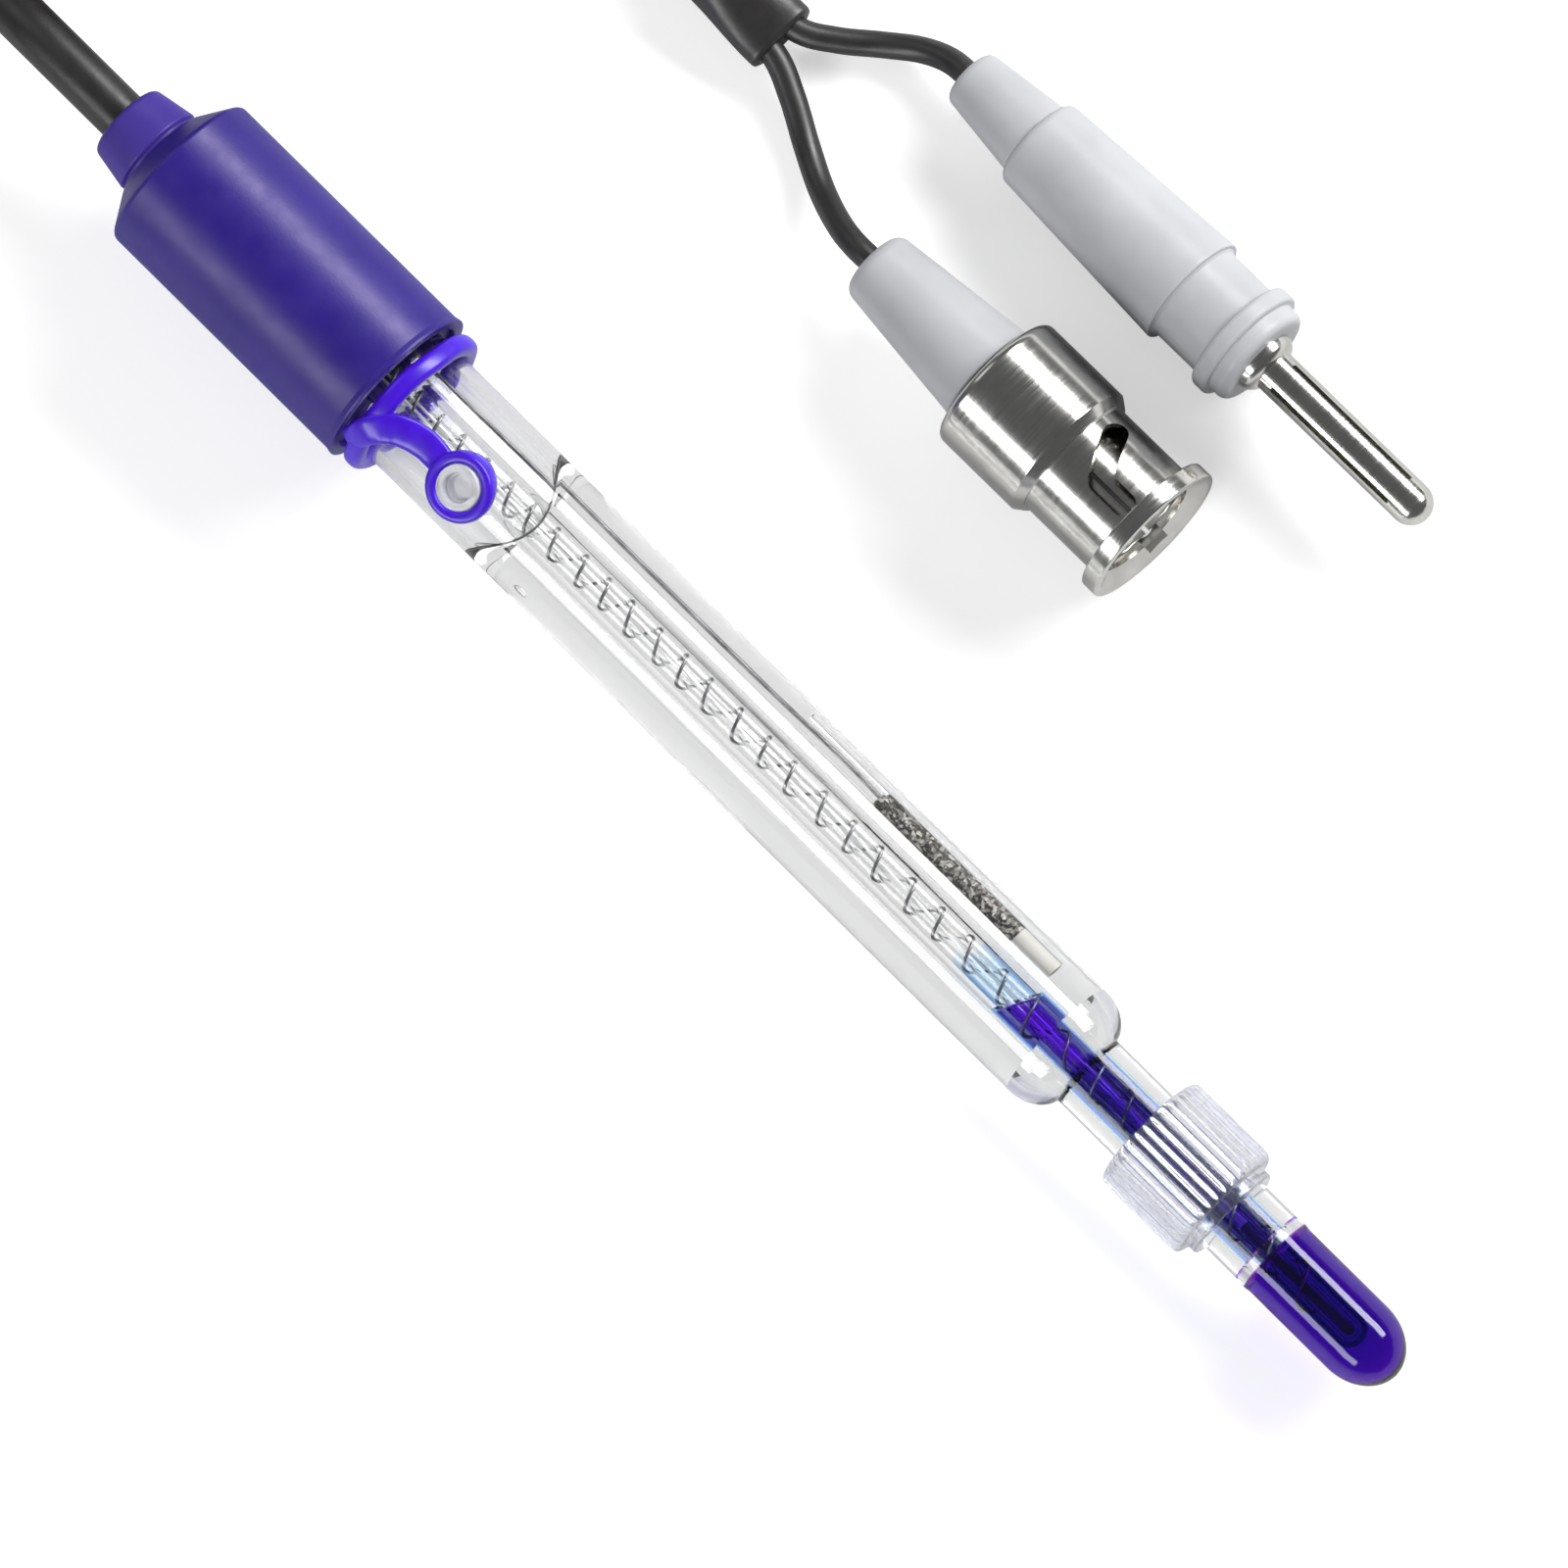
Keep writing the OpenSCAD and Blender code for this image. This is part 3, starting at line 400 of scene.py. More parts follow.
def rampOf(tree, factor, stops):
    ramp = tree.nodes.new("ShaderNodeValToRGB")
    elements = ramp.color_ramp.elements
    while len(elements) > 1:
        elements.remove(elements[-1])
    elements[0].position, elements[0].color = stops[0][0], (*stops[0][1], 1)
    for position, colour in stops[1:]:
        elements.new(position).color = (*colour, 1)
    tree.links.new(factor, ramp.inputs["Fac"])
    return ramp.outputs["Color"]


def spanOf(tree, factor, low, high, fromLow=0.3, fromHigh=0.7):
    span = tree.nodes.new("ShaderNodeMapRange")
    span.inputs["From Min"].default_value = fromLow
    span.inputs["From Max"].default_value = fromHigh
    span.inputs["To Min"].default_value = low
    span.inputs["To Max"].default_value = high
    tree.links.new(factor, span.inputs["Value"])
    return span.outputs["Result"]


def bumpOf(tree, height, strength, distance, shader):
    bump = tree.nodes.new("ShaderNodeBump")
    bump.inputs["Strength"].default_value = strength
    bump.inputs["Distance"].default_value = distance
    tree.links.new(height, bump.inputs["Height"])
    tree.links.new(bump.outputs["Normal"], shader.inputs["Normal"])


def mouldedPlastic(name, look):
    # moulded plastic: slight cloudiness of colour, fine satin grain, a few polished patches
    material, tree, shader = startMaterial(name)
    space = objectSpace(tree)
    cloud = noiseAt(tree, space, look.get("cloud", 140), 3)
    colour = rampOf(tree, cloud, [(0.3, look["dark"]), (0.7, look["light"])])
    tree.links.new(colour, shader.inputs["Base Color"])
    grain = noiseAt(tree, space, look.get("grain", 5200), 2)
    wear = noiseAt(tree, space, 420, 5)
    tree.links.new(spanOf(tree, wear, look["rough"] - 0.05, look["rough"] + 0.06), shader.inputs["Roughness"])
    bumpOf(tree, grain, look.get("bump", 0.12), 0.00004, shader)
    shader.inputs["IOR"].default_value = look.get("ior", 1.48)
    shader.inputs["Specular IOR Level"].default_value = look.get("specular", 0.5)
    if "specularTint" in look:
        shader.inputs["Specular Tint"].default_value = (*look["specularTint"], 1)
    if "coat" in look:
        shader.inputs["Coat Weight"].default_value = look["coat"]
        shader.inputs["Coat Roughness"].default_value = 0.2
    return material


def platedMetal(name, look):
    # turned and plated metal: fine rings left by the tool, and faint tarnish
    material, tree, shader = startMaterial(name)
    space = objectSpace(tree, look.get("stretch", (9000, 260, 260)))
    lines = noiseAt(tree, space, 1, 3)
    stain = noiseAt(tree, objectSpace(tree), 330, 4)
    colour = rampOf(tree, stain, [(0.35, look["dark"]), (0.62, look["light"])])
    tree.links.new(colour, shader.inputs["Base Color"])
    rough = spanOf(tree, lines, look["rough"] - 0.04, look["rough"] + 0.08)
    tree.links.new(rough, shader.inputs["Roughness"])
    shader.inputs["Metallic"].default_value = 1
    bumpOf(tree, lines, 0.08, 0.00002, shader)
    return material


def seeThrough(name, look):
    # glass, liquid or gel: refracts for the eye, lets the lamps' light straight through. A wall
    # between two of them bends light by the ratio of their indices, so it is ior over beside.
    # One with neither is a wall that light passes unbent, between two bodies of one index
    material, tree, shader = startMaterial(name)
    space = objectSpace(tree)
    rough = look.get("rough", 0.0)
    shader.inputs["Base Color"].default_value = (*look.get("tint", (1, 1, 1)), 1)
    shader.inputs["Transmission Weight"].default_value = look.get("clear", 1)
    shader.inputs["IOR"].default_value = look.get("ior", 1.0) / look.get("beside", 1.0)
    shader.inputs["Roughness"].default_value = rough
    shader.inputs["Specular IOR Level"].default_value = look.get("mirror", 0.5)
    if "haze" in look:
        streak = noiseAt(tree, objectSpace(tree, (35, 500, 500)), 1, 2)
        tree.links.new(spanOf(tree, streak, rough, rough + look["haze"]), shader.inputs["Roughness"])
    if "waveScale" in look:
        bumpOf(tree, noiseAt(tree, space, look["waveScale"], 2), 0.02, 0.0002, shader)
    if "freeIor" in look:
        free = tree.nodes.new("ShaderNodeAttribute")
        free.attribute_name = "freeSurface"
        tree.links.new(spanOf(tree, free.outputs["Fac"], 1.0, look["freeIor"], 0, 1), shader.inputs["IOR"])
    passing = tree.nodes.new("ShaderNodeBsdfTransparent")
    passing.inputs["Color"].default_value = (*look.get("shade", (1, 1, 1)), 1)
    rays = tree.nodes.new("ShaderNodeLightPath")
    mix = tree.nodes.new("ShaderNodeMixShader")
    tree.links.new(rays.outputs["Is Shadow Ray"], mix.inputs["Fac"])
    tree.links.new(shader.outputs["BSDF"], mix.inputs[1])
    tree.links.new(passing.outputs["BSDF"], mix.inputs[2])
    output = tree.nodes["Material Output"]
    tree.links.new(mix.outputs["Shader"], output.inputs["Surface"])
    if "absorb" in look:
        volume = tree.nodes.new("ShaderNodeVolumeAbsorption")
        volume.inputs["Color"].default_value = (*look["absorb"], 1)
        volume.inputs["Density"].default_value = look["density"]
        tree.links.new(volume.outputs["Volume"], output.inputs["Volume"])
    return material


def granular(name, look):
    # packed grains: one colour of the ramp for each cell, and a bump between them
    material, tree, shader = startMaterial(name)
    cells = tree.nodes.new("ShaderNodeTexVoronoi")
    cells.inputs["Scale"].default_value = look["scale"]
    tree.links.new(objectSpace(tree), cells.inputs["Vector"])
    separate = tree.nodes.new("ShaderNodeSeparateColor")
    tree.links.new(cells.outputs["Color"], separate.inputs["Color"])
    tree.links.new(rampOf(tree, separate.outputs["Red"], look["stops"]), shader.inputs["Base Color"])
    shader.inputs["Roughness"].default_value = 0.75
    bumpOf(tree, cells.outputs["Distance"], 0.8, 0.00015, shader)
    return material


finishes = {
    "cap": {"dark": (0.016, 0.005, 0.200), "light": (0.022, 0.008, 0.235), "rough": 0.42, "bump": 0.2,
            "grain": 3800, "cloud": 160, "specular": 0.75, "specularTint": (0.92, 0.84, 1.0)},
    "bush": {"dark": (0.046, 0.024, 0.275), "light": (0.060, 0.034, 0.320), "rough": 0.46, "bump": 0.2,
             "specularTint": (0.92, 0.84, 1.0)},
    "resin": {"dark": (0.030, 0.012, 0.22), "light": (0.045, 0.02, 0.30), "rough": 0.4},
    "jacket": {"dark": (0.010, 0.008, 0.008), "light": (0.018, 0.016, 0.015), "rough": 0.42, "bump": 0.3,
               "grain": 2600, "specular": 0.8, "ior": 1.5},
    "silicone": {"dark": (0.050, 0.002, 0.60), "light": (0.072, 0.005, 0.74), "rough": 0.34, "bump": 0.1,
                 "cloud": 700, "coat": 0.25},
    "plugPlastic": {"dark": (0.47, 0.48, 0.50), "light": (0.53, 0.54, 0.56), "rough": 0.42, "bump": 0.14,
                    "grain": 4200},
    "insulator": {"dark": (0.80, 0.80, 0.77), "light": (0.86, 0.86, 0.83), "rough": 0.35},
    "ceramic": {"dark": (0.62, 0.61, 0.57), "light": (0.74, 0.73, 0.69), "rough": 0.7, "grain": 9000,
                "bump": 0.5},
    "sensorResin": {"dark": (0.02, 0.02, 0.02), "light": (0.04, 0.04, 0.04), "rough": 0.4},
    # the next finish, grey to black, is for the ring at the liquid's edge: salt crust, and painted shade for
    # the meniscus's dark line
    "crustAndMeniscusShade": {"dark": (0.05, 0.05, 0.055), "light": (0.16, 0.16, 0.165), "rough": 0.7, "cloud": 900},
    "sensorPaste": {"dark": (0.006, 0.002, 0.030), "light": (0.010, 0.003, 0.042), "rough": 0.6},
    "gasket": {"dark": (0.16, 0.02, 0.012), "light": (0.22, 0.03, 0.02), "rough": 0.6},
}
metals = {
    "nickel": {"dark": (0.60, 0.59, 0.56), "light": (0.70, 0.69, 0.66), "rough": 0.17},
    "silver": {"dark": (0.08, 0.08, 0.085), "light": (0.22, 0.22, 0.225), "rough": 0.4,
               "stretch": (400, 400, 400)},
    "gold": {"dark": (0.72, 0.48, 0.16), "light": (0.83, 0.60, 0.24), "rough": 0.2},
    "leadWire": {"dark": (0.60, 0.60, 0.60), "light": (0.72, 0.72, 0.72), "rough": 0.35},
    "springSteel": {"dark": (0.40, 0.40, 0.40), "light": (0.50, 0.50, 0.50), "rough": 0.3},
}
index = {"glass": 1.47, "liquid": 1.36, "gel": 1.34}
clears = {
    "glass": {"tint": (0.99, 0.993, 0.993), "ior": index["glass"], "haze": 0.01, "waveScale": 260,
              "shade": (0.985, 0.987, 0.987)},
    "glassOnLiquid": {"ior": index["glass"], "beside": index["liquid"], "waveScale": 200},
    "glassOnGel": {"ior": index["glass"], "beside": index["gel"], "waveScale": 200},
    "membrane": {"tint": (0.98, 0.97, 1.0), "ior": 1.45, "haze": 0.01, "mirror": 0.35,
                 "shade": (0.97, 0.96, 0.99)},
    "fused": {},
    "electrolyte": {"tint": (0.998, 0.999, 1.0), "ior": index["liquid"], "shade": (0.995, 0.995, 0.995)},
    "stemGel": {"ior": index["gel"], "freeIor": index["gel"], "absorb": (0.62, 0.0, 0.93), "density": 4200},
    "neckGel": {"absorb": (0.38, 0.0, 0.80), "density": 4200},
    "filmGel": {"absorb": (0.10, 0.58, 0.96), "density": 1500},
    "bulbGel": {"absorb": (0.68, 0.0, 0.90), "density": 1800},
    "coreGel": {"absorb": (0.1, 0.0, 0.62), "density": 2600},
    "sleeve": {"tint": (0.93, 0.94, 0.97), "ior": 1.49, "rough": 0.06, "haze": 0.08, "clear": 0.98,
               "shade": (0.95, 0.95, 0.97)},
    "stopper": {"tint": (0.95, 0.95, 0.98), "ior": 1.42, "rough": 0.12, "haze": 0.05, "clear": 0.62,
                "shade": (0.9, 0.9, 0.95)},
}
capPlastic = mouldedPlastic("capPlastic", finishes["cap"])
bushPlastic = mouldedPlastic("bushPlastic", finishes["bush"])
pottingResin = mouldedPlastic("pottingResin", finishes["resin"])
cableJacket = mouldedPlastic("cableJacket", finishes["jacket"])
violetSilicone = mouldedPlastic("violetSilicone", finishes["silicone"])
plugPlastic = mouldedPlastic("plugPlastic", finishes["plugPlastic"])
insulatorPlastic = mouldedPlastic("insulatorPlastic", finishes["insulator"])
plugCeramic = mouldedPlastic("plugCeramic", finishes["ceramic"])
sensorResin = mouldedPlastic("sensorResin", finishes["sensorResin"])
gasketRubber = mouldedPlastic("gasketRubber", finishes["gasket"])
# the ring at the liquid's edge: salt crust, and painted shade for the meniscus's dark line
crustAndMeniscusShade = mouldedPlastic("crustAndMeniscusShade", finishes["crustAndMeniscusShade"])
sensorPaste = mouldedPlastic("sensorPaste", finishes["sensorPaste"])
nickelPlate = platedMetal("nickelPlate", metals["nickel"])
silverWire = platedMetal("silverWire", metals["silver"])
goldPlate = platedMetal("goldPlate", metals["gold"])
leadWire = platedMetal("leadWire", metals["leadWire"])
springSteel = platedMetal("springSteel", metals["springSteel"])
clearGlass = seeThrough("clearGlass", clears["glass"])
membraneGlass = seeThrough("membraneGlass", clears["membrane"])
glassOnLiquid = seeThrough("glassOnLiquid", clears["glassOnLiquid"])
glassOnGel = seeThrough("glassOnGel", clears["glassOnGel"])
fusedWall = seeThrough("fusedWall", clears["fused"])
clearLiquid = seeThrough("clearLiquid", clears["electrolyte"])
filmGel = seeThrough("filmGel", clears["filmGel"])
neckGel = seeThrough("neckGel", clears["neckGel"])
coreGel = seeThrough("coreGel", clears["coreGel"])
stemGel = seeThrough("stemGel", clears["stemGel"])
bulbGel = seeThrough("bulbGel", clears["bulbGel"])
sleevePlastic = seeThrough("sleevePlastic", clears["sleeve"])
stopperPlastic = seeThrough("stopperPlastic", clears["stopper"])
chlorideGrains = granular("chlorideGrains", {
    "scale": 3600,
    "stops": [(0.0, (0.010, 0.009, 0.008)), (0.4, (0.06, 0.055, 0.05)), (0.6, (0.22, 0.21, 0.19)),
              (0.8, (0.42, 0.40, 0.37)), (1.0, (0.70, 0.68, 0.64))],
})
print("materials ready")

# camera

view = {"tilt": math.radians(10.644), "roll": (0.711, 0.703), "distance": 1.2, "width": 0.13582,
        "aim": (0.00454, -0.00082, 0.00695), "sensor": 36}


def setCamera():
    # looks down, tilted towards the bulb, rolled so that the electrode runs down to the right
    towards = np.array([math.sin(view["tilt"]), 0, math.cos(view["tilt"])])
    along = np.array([math.cos(view["tilt"]), 0, -math.sin(view["tilt"])])
    across = np.array([0.0, 1.0, 0.0])
    k, m = np.array(view["roll"]) / math.hypot(*view["roll"])
    right = k * along + m * across
    top = -m * along + k * across
    data = bpy.data.cameras.new("camera")
    data.sensor_width = view["sensor"]
    data.lens = view["sensor"] * view["distance"] / view["width"]
    data.clip_start, data.clip_end = 0.05, 20
    camera = bpy.data.objects.new("camera", data)
    spot = np.array(view["aim"]) + towards * view["distance"]
    axes = [[right[k], top[k], towards[k], spot[k]] for k in range(3)]
    camera.matrix_world = Matrix(axes + [[0, 0, 0, 1]])
    bpy.context.scene.collection.objects.link(camera)
    bpy.context.scene.camera = camera
    return towards, along, across


towards, along, across = setCamera()
print("camera set")

# cable and leads

cableWay = {
    "thickness": 4.7,
    "inside": [(-21.7, 0, 0), (-34.1, 0, 0), (-36.1, 0, 0)],
    "down": [(-84, 0, 8.9), (-90, 0, 8.3), (-96, 0, 6.4), (-102, 0, 4.2), (-108, 0, 2.7), (-115, 0, 2.35)],
    "coilCentre": (-115, 30.5), "inner": 17.5, "outer": 30.5, "turns": 2.75, "upper": 7.0,
    "back": [(-115, 61, 7), (-107, 60.7, 6.7), (-99, 59.3, 5.6), (-91, 56.7, 4.3), (-83, 53.4, 3.2),
             (-75, 50.2, 2.6), (-67, 47.6, 2.6), (-60, 46, 3), (-55, 45.5, 3.2), (-51, 45.5, 3.2)],
}


def cableCentreLine():
    # into the coil's outer turn on the floor, inwards, up a layer, outwards and away over the top
    way = cableWay
    points = [tuple(p) for p in toFloor(way["inside"]) / mm] + way["down"]
    cx, cy = way["coilCentre"]
    d = way["thickness"]
    turns = way["turns"]
    t = np.linspace(0, 1, int(turns * 40))[1:]
    a = -np.pi / 2 - 2 * np.pi * turns * t
    r = way["outer"] - (way["outer"] - way["inner"]) * t
    z = np.full_like(t, d / 2)
    low = np.stack([cx + r * np.cos(a), cy + r * np.sin(a), z], axis=-1)
    a2 = a[-1] - 2 * np.pi * turns * t
    r2 = way["inner"] + (way["outer"] - way["inner"]) * t
    z2 = d / 2 + (way["upper"] - d / 2) * smoothStep(t * turns * 2)
    high = np.stack([cx + r2 * np.cos(a2), cy + r2 * np.sin(a2), z2], axis=-1)
    line = points + [tuple(p) for p in low] + [tuple(p) for p in high[:-1]] + way["back"]
    return smoothLine(np.array(line), 1.2)


cableLine = cableCentreLine()
cableVerts, cableFaces = sweptTube(cableLine, cableWay["thickness"] / 2, 28)
cable = makeObject("cableAndCoil", cableVerts * mm, cableFaces, cableJacket, "electrode")
outwards(cable)
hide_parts("cable", "cable_coil", "cable_return")

leadWays = {
    "thickness": 2.4,
    "signal": [(-49, 44, 2.4), (-42.7, 44, 2.4), (-39, 42.5, 1.9), (-35, 40.3, 1.5), (-31, 38.4, 2.5),
               (-27, 37.2, 4.9), (-24.6, 36.9, 6.1)],
    "temperature": [(-49, 47, 2.4), (-42.7, 47, 2.4), (-39.6, 48.8, 1.9), (-36.6, 51.2, 1.6),
                    (-33.6, 53.3, 2.1), (-31, 54.3, 3.1)],
    "signalEnd": [(0, 0, 0), (9.1, 0, 0)],
    "temperatureEnd": [(0, 0, 0), (20.7, 0, 0)],
}


def leadPiece(which, name):
    # a round lead along its points on the floor and then into its plug
    ends = toPlug(which)(leadWays[which + "End"]) / mm
    line = smoothLine(np.vstack([leadWays[which], ends]), 0.5)
    verts, faces = sweptTube(line, leadWays["thickness"] / 2, 20)
    piece = outwards(makeObject(name, verts * mm, faces, cableJacket, "electrode"))
    return piece, line


signalLead, signalLine = leadPiece("signal", "signalLead")
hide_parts("signal_lead")
temperatureLead, temperatureLine = leadPiece("temperature", "temperatureLead")
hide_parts("temperature_lead")
print("cable", round(lineLength(cableLine)), "mm, leads", round(lineLength(signalLine)),
      round(lineLength(temperatureLine)), "mm")

splitter = {"from": -55.0, "to": -43.0, "centre": 45.5, "rootRadius": 3.2, "rootHeight": 3.2,
            "endHalfWidth": 3.55, "endRadius": 2.05, "endHeight": 2.4}


def splitterPiece():
    # round section where the cable enters, widening into a flat oval round the two leads;
    # superellipse sections along x, drawn in at both ends
    s = splitter
    rows, segments = 60, 48
    u = np.linspace(0, 1, rows)
    x = s["from"] + (s["to"] - s["from"]) * u
    blend = smoothStep((u - 0.3) / 0.6)
    ease = np.minimum(1, np.minimum(u, 1 - u) * (s["to"] - s["from"]) / 0.5)
    shrink = 0.5 * (1 - np.sqrt(np.maximum(0, 1 - (1 - ease) ** 2)))
    halfY = s["rootRadius"] + (s["endHalfWidth"] - s["rootRadius"]) * blend - shrink
    halfZ = s["rootRadius"] + (s["endRadius"] - s["rootRadius"]) * blend - shrink
    midZ = s["rootHeight"] + (s["endHeight"] - s["rootHeight"]) * blend
    power = (2 + 0.7 * blend)[:, None]
    a = np.linspace(0, 2 * np.pi, segments, endpoint=False)[None]
    y = s["centre"] + halfY[:, None] * squarer(np.cos(a), power)
    z = midZ[:, None] + halfZ[:, None] * squarer(np.sin(a), power)
    verts = np.stack([np.repeat(x[:, None], segments, 1), y, z], axis=-1).reshape(-1, 3)
    piece = outwards(makeObject("cableSplitter", verts * mm, tubeFaces(rows, segments), cableJacket,
                                "electrode", 50))
    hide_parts("cable_splitter")
    return piece


splitterMould = splitterPiece()

# cap and bush

capSizes = {"radius": 8.0, "length": 27.3, "bevel": 2.1, "wall": 1.0, "flare": 0.1, "hole": 4.47,
            "bevelRadius": 4.85, "endWall": 2.0}


def capPiece():
    # a turned shell, bevelled at the cable's end and a little flared at its open rim
    c = capSizes
    back, shoulder = -c["length"] - c["bevel"], -c["length"]
    inner = c["radius"] - c["wall"]
    lip, floor = c["radius"] + c["flare"], back + c["endWall"]
    loop = [(c["hole"], back), (c["bevelRadius"], back), (c["radius"], shoulder), (c["radius"], -0.7),
            (lip, -0.25), (lip, 0), (inner, 0), (inner, floor + 1), (inner - 1, floor), (c["hole"], floor)]
    radii = [0.05, 0.25, 0.55, 0.3, 0.06, 0.08, 0.12, 0.2, 0.2, 0.05]
    piece = turnedPiece("capShell", roundCorners(loop, radii), capPlastic, "electrode", segments=192)
    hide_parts("cap_shell")


capPiece()

bushSizes = {"end": -34.1, "radius1": 3.75, "radius2": 4.45, "edge": 0.65, "bore": 2.37, "flange": 5.8,
             "groove": 0.28, "grooveFrom": -30.05, "grooveTo": -29.4, "flangeAt": -27.36, "inside": -25.9}


def bushPiece():
    # a turned taper, a groove where it meets the cap, and a flange inside the cap
    b = bushSizes
    waist, seat = b["radius2"] - b["groove"], b["radius2"] - 0.03
    loop = [(b["bore"], b["end"]), (b["radius1"], b["end"]), (b["radius2"] + 0.02, b["grooveFrom"]),
            (waist, b["grooveFrom"] + 0.25), (waist, b["grooveTo"]), (seat, b["grooveTo"]),
            (seat, b["flangeAt"]), (b["flange"], b["flangeAt"]), (b["flange"], b["inside"]),
            (b["bore"], b["inside"])]
    radii = [0.2, b["edge"], 0.2, 0.08, 0.05, 0.02, 0.02, 0.1, 0.1, 0.05]
    piece = turnedPiece("strainRelief", roundCorners(loop, radii), bushPlastic, "electrode")
    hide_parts("strain_relief")


bushPiece()

# glass and what is in it

glassSizes = {"radius": 6.0, "inner": 5.0, "top": -9.0, "shoulder": 81.7, "neckStart": 85.3, "neck": 3.65,
              "seat": 3.70, "neckInner": 2.9, "fused": 107.3, "seam": 108.2, "sleeveStart": 92.7,
              "sleeveEnd": 102.1, "refillAt": 11.45, "refillRadius": 1.38}
bulbSizes = {"radius": 3.7, "tip": 122.9, "end": 4.7, "wall": 0.4, "seam": 108.2}
stemSizes = {"radius": 2.5, "inner": 1.6, "top": -12.0}
capillarySizes = {"radius": 0.9, "inner": 0.6, "top": -12.0, "end": 118.4}
overlap = 0.012  # how far a liquid reaches into the glass round it, so that no gap is seen
# the entry after creep is the thickness of the dark ring at the liquid's edge: salt crust, and painted shade
# for the meniscus's dark line
liquidSizes = {"level": 17.9, "sag": 3.2, "lean": 0.14, "creep": 0.2, "edgeRingThickness": 0.11,
               "bubble": (20.8, -4.35, 1.6)}
gelSizes = {"top": 77.5, "slant": math.radians(35), "creep": 0.5, "filmFrom": 71.5, "film": 0.16,
            "neckFrom": 84.0, "core": 1.2}
innerShoulder = (glassSizes["shoulder"] - 0.3, glassSizes["neckStart"] - 0.3)  # where the inner wall narrows


def liquidSurface(y, z, climb):
    # place = level - sag (y / R)^2 + lean z - creep climb, where climb is 1 at a wall
    q = liquidSizes
    return q["level"] - q["sag"] * (y / glassSizes["inner"]) ** 2 + q["lean"] * z - q["creep"] * climb


def gelSurface(y, climb):
    # place = top + tan(slant) y - creep climb
    return gelSizes["top"] + math.tan(gelSizes["slant"]) * y - gelSizes["creep"] * climb


def bendRing(verts, radius, place, surface):
    # moves the ring of points at this radius and place onto the surface's line on that wall
    far = np.hypot(verts[:, 1], verts[:, 2])
    ring = (np.abs(far - radius) < 1e-4) & (np.abs(verts[:, 0] - place) < 1e-4)
    verts[ring, 0] = surface(verts[ring, 1], verts[ring, 2])
    return verts


def blownShoulder(outer, neck, start, end, steps=18):
    # radius = neck + (outer - neck) (1 - t^2.1)^0.62: the wall leaves the tube round and runs
    # into the neck in a hollow curve
    t = np.linspace(0, 1, steps)
    place = start + (end - start) * t
    r = neck + (outer - neck) * (1 - t ** 2.1) ** 0.62
    return np.stack([r, place], axis=-1)


def glassPiece():
    # one turned wall, from the liquid's edge up the inside, down the outside and back up through the
    # neck, with the refill hole cut through it
    g = glassSizes
    wetFrom, stemHole = liquidSizes["level"], stemSizes["radius"] + 0.02
    bulbInner = bulbSizes["radius"] - bulbSizes["wall"]
    loop = [(g["inner"], wetFrom), (g["inner"], g["top"]), (g["radius"], g["top"])]
    loop += [tuple(p) for p in blownShoulder(g["radius"], g["neck"], g["shoulder"], g["neckStart"])]
    loop += [(g["neck"] - 0.02, g["neckStart"] + 0.3), (g["neck"], g["neckStart"] + 0.8),
             (g["neck"], g["sleeveStart"] - 0.1), (g["seat"], g["sleeveEnd"]),
             (g["seat"] + 0.02, g["fused"] + 0.1), (g["seat"] + 0.10, g["fused"] + 0.7),
             (g["seat"] + 0.08, g["seam"]), (bulbInner, g["seam"]), (stemHole, g["seam"]),
             (stemHole, g["fused"]), (g["neckInner"], g["fused"] - 0.2), (g["neckInner"], g["neckStart"])]
    loop += [tuple(p) for p in blownShoulder(g["inner"], g["neckInner"], *innerShoulder)[::-1]]
    verts, faces = weld(*lathe(loop, 192))
    verts = bendRing(verts, g["inner"], wetFrom, lambda y, z: liquidSurface(y, z, 1))
    piece = makeObject("glassBody", toFloor(verts), faces, clearGlass, "electrode", 50)
    hole = sweptTube(fromRefill([(g["refillAt"], 0, 4.0), (g["refillAt"], 0, 8.0)]), g["refillRadius"], 48,
                     up=(1, 0, 0))
    cutAway(piece, [bareSolid("holeCutter", toFloor(hole[0]), hole[1])], 50)
    inside, neckInside, nearSeam = g["inner"] + 0.05, g["neckInner"] + 0.1, g["seam"] - 0.01

    def wet(s, r, y, z):
        # the inner wall from the liquid's edge to where the neck and the stem are fused
        reach = np.interp(s, [0, *innerShoulder], [inside, inside, neckInside])
        return (s > liquidSurface(y, z, 1) + 0.1) & (s < g["fused"] - 0.1) & (r < reach)

    finishFaces(piece, glassOnLiquid, wet)
    finishFaces(piece, glassOnGel, lambda s, r, y, z: (s > nearSeam) & (r < bulbInner))
    finishFaces(piece, fusedWall, lambda s, r, y, z: (
        (s > nearSeam) & (r > bulbInner) & (r < g["seat"] - 0.03)))
    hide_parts("glass_body")


glassPiece()


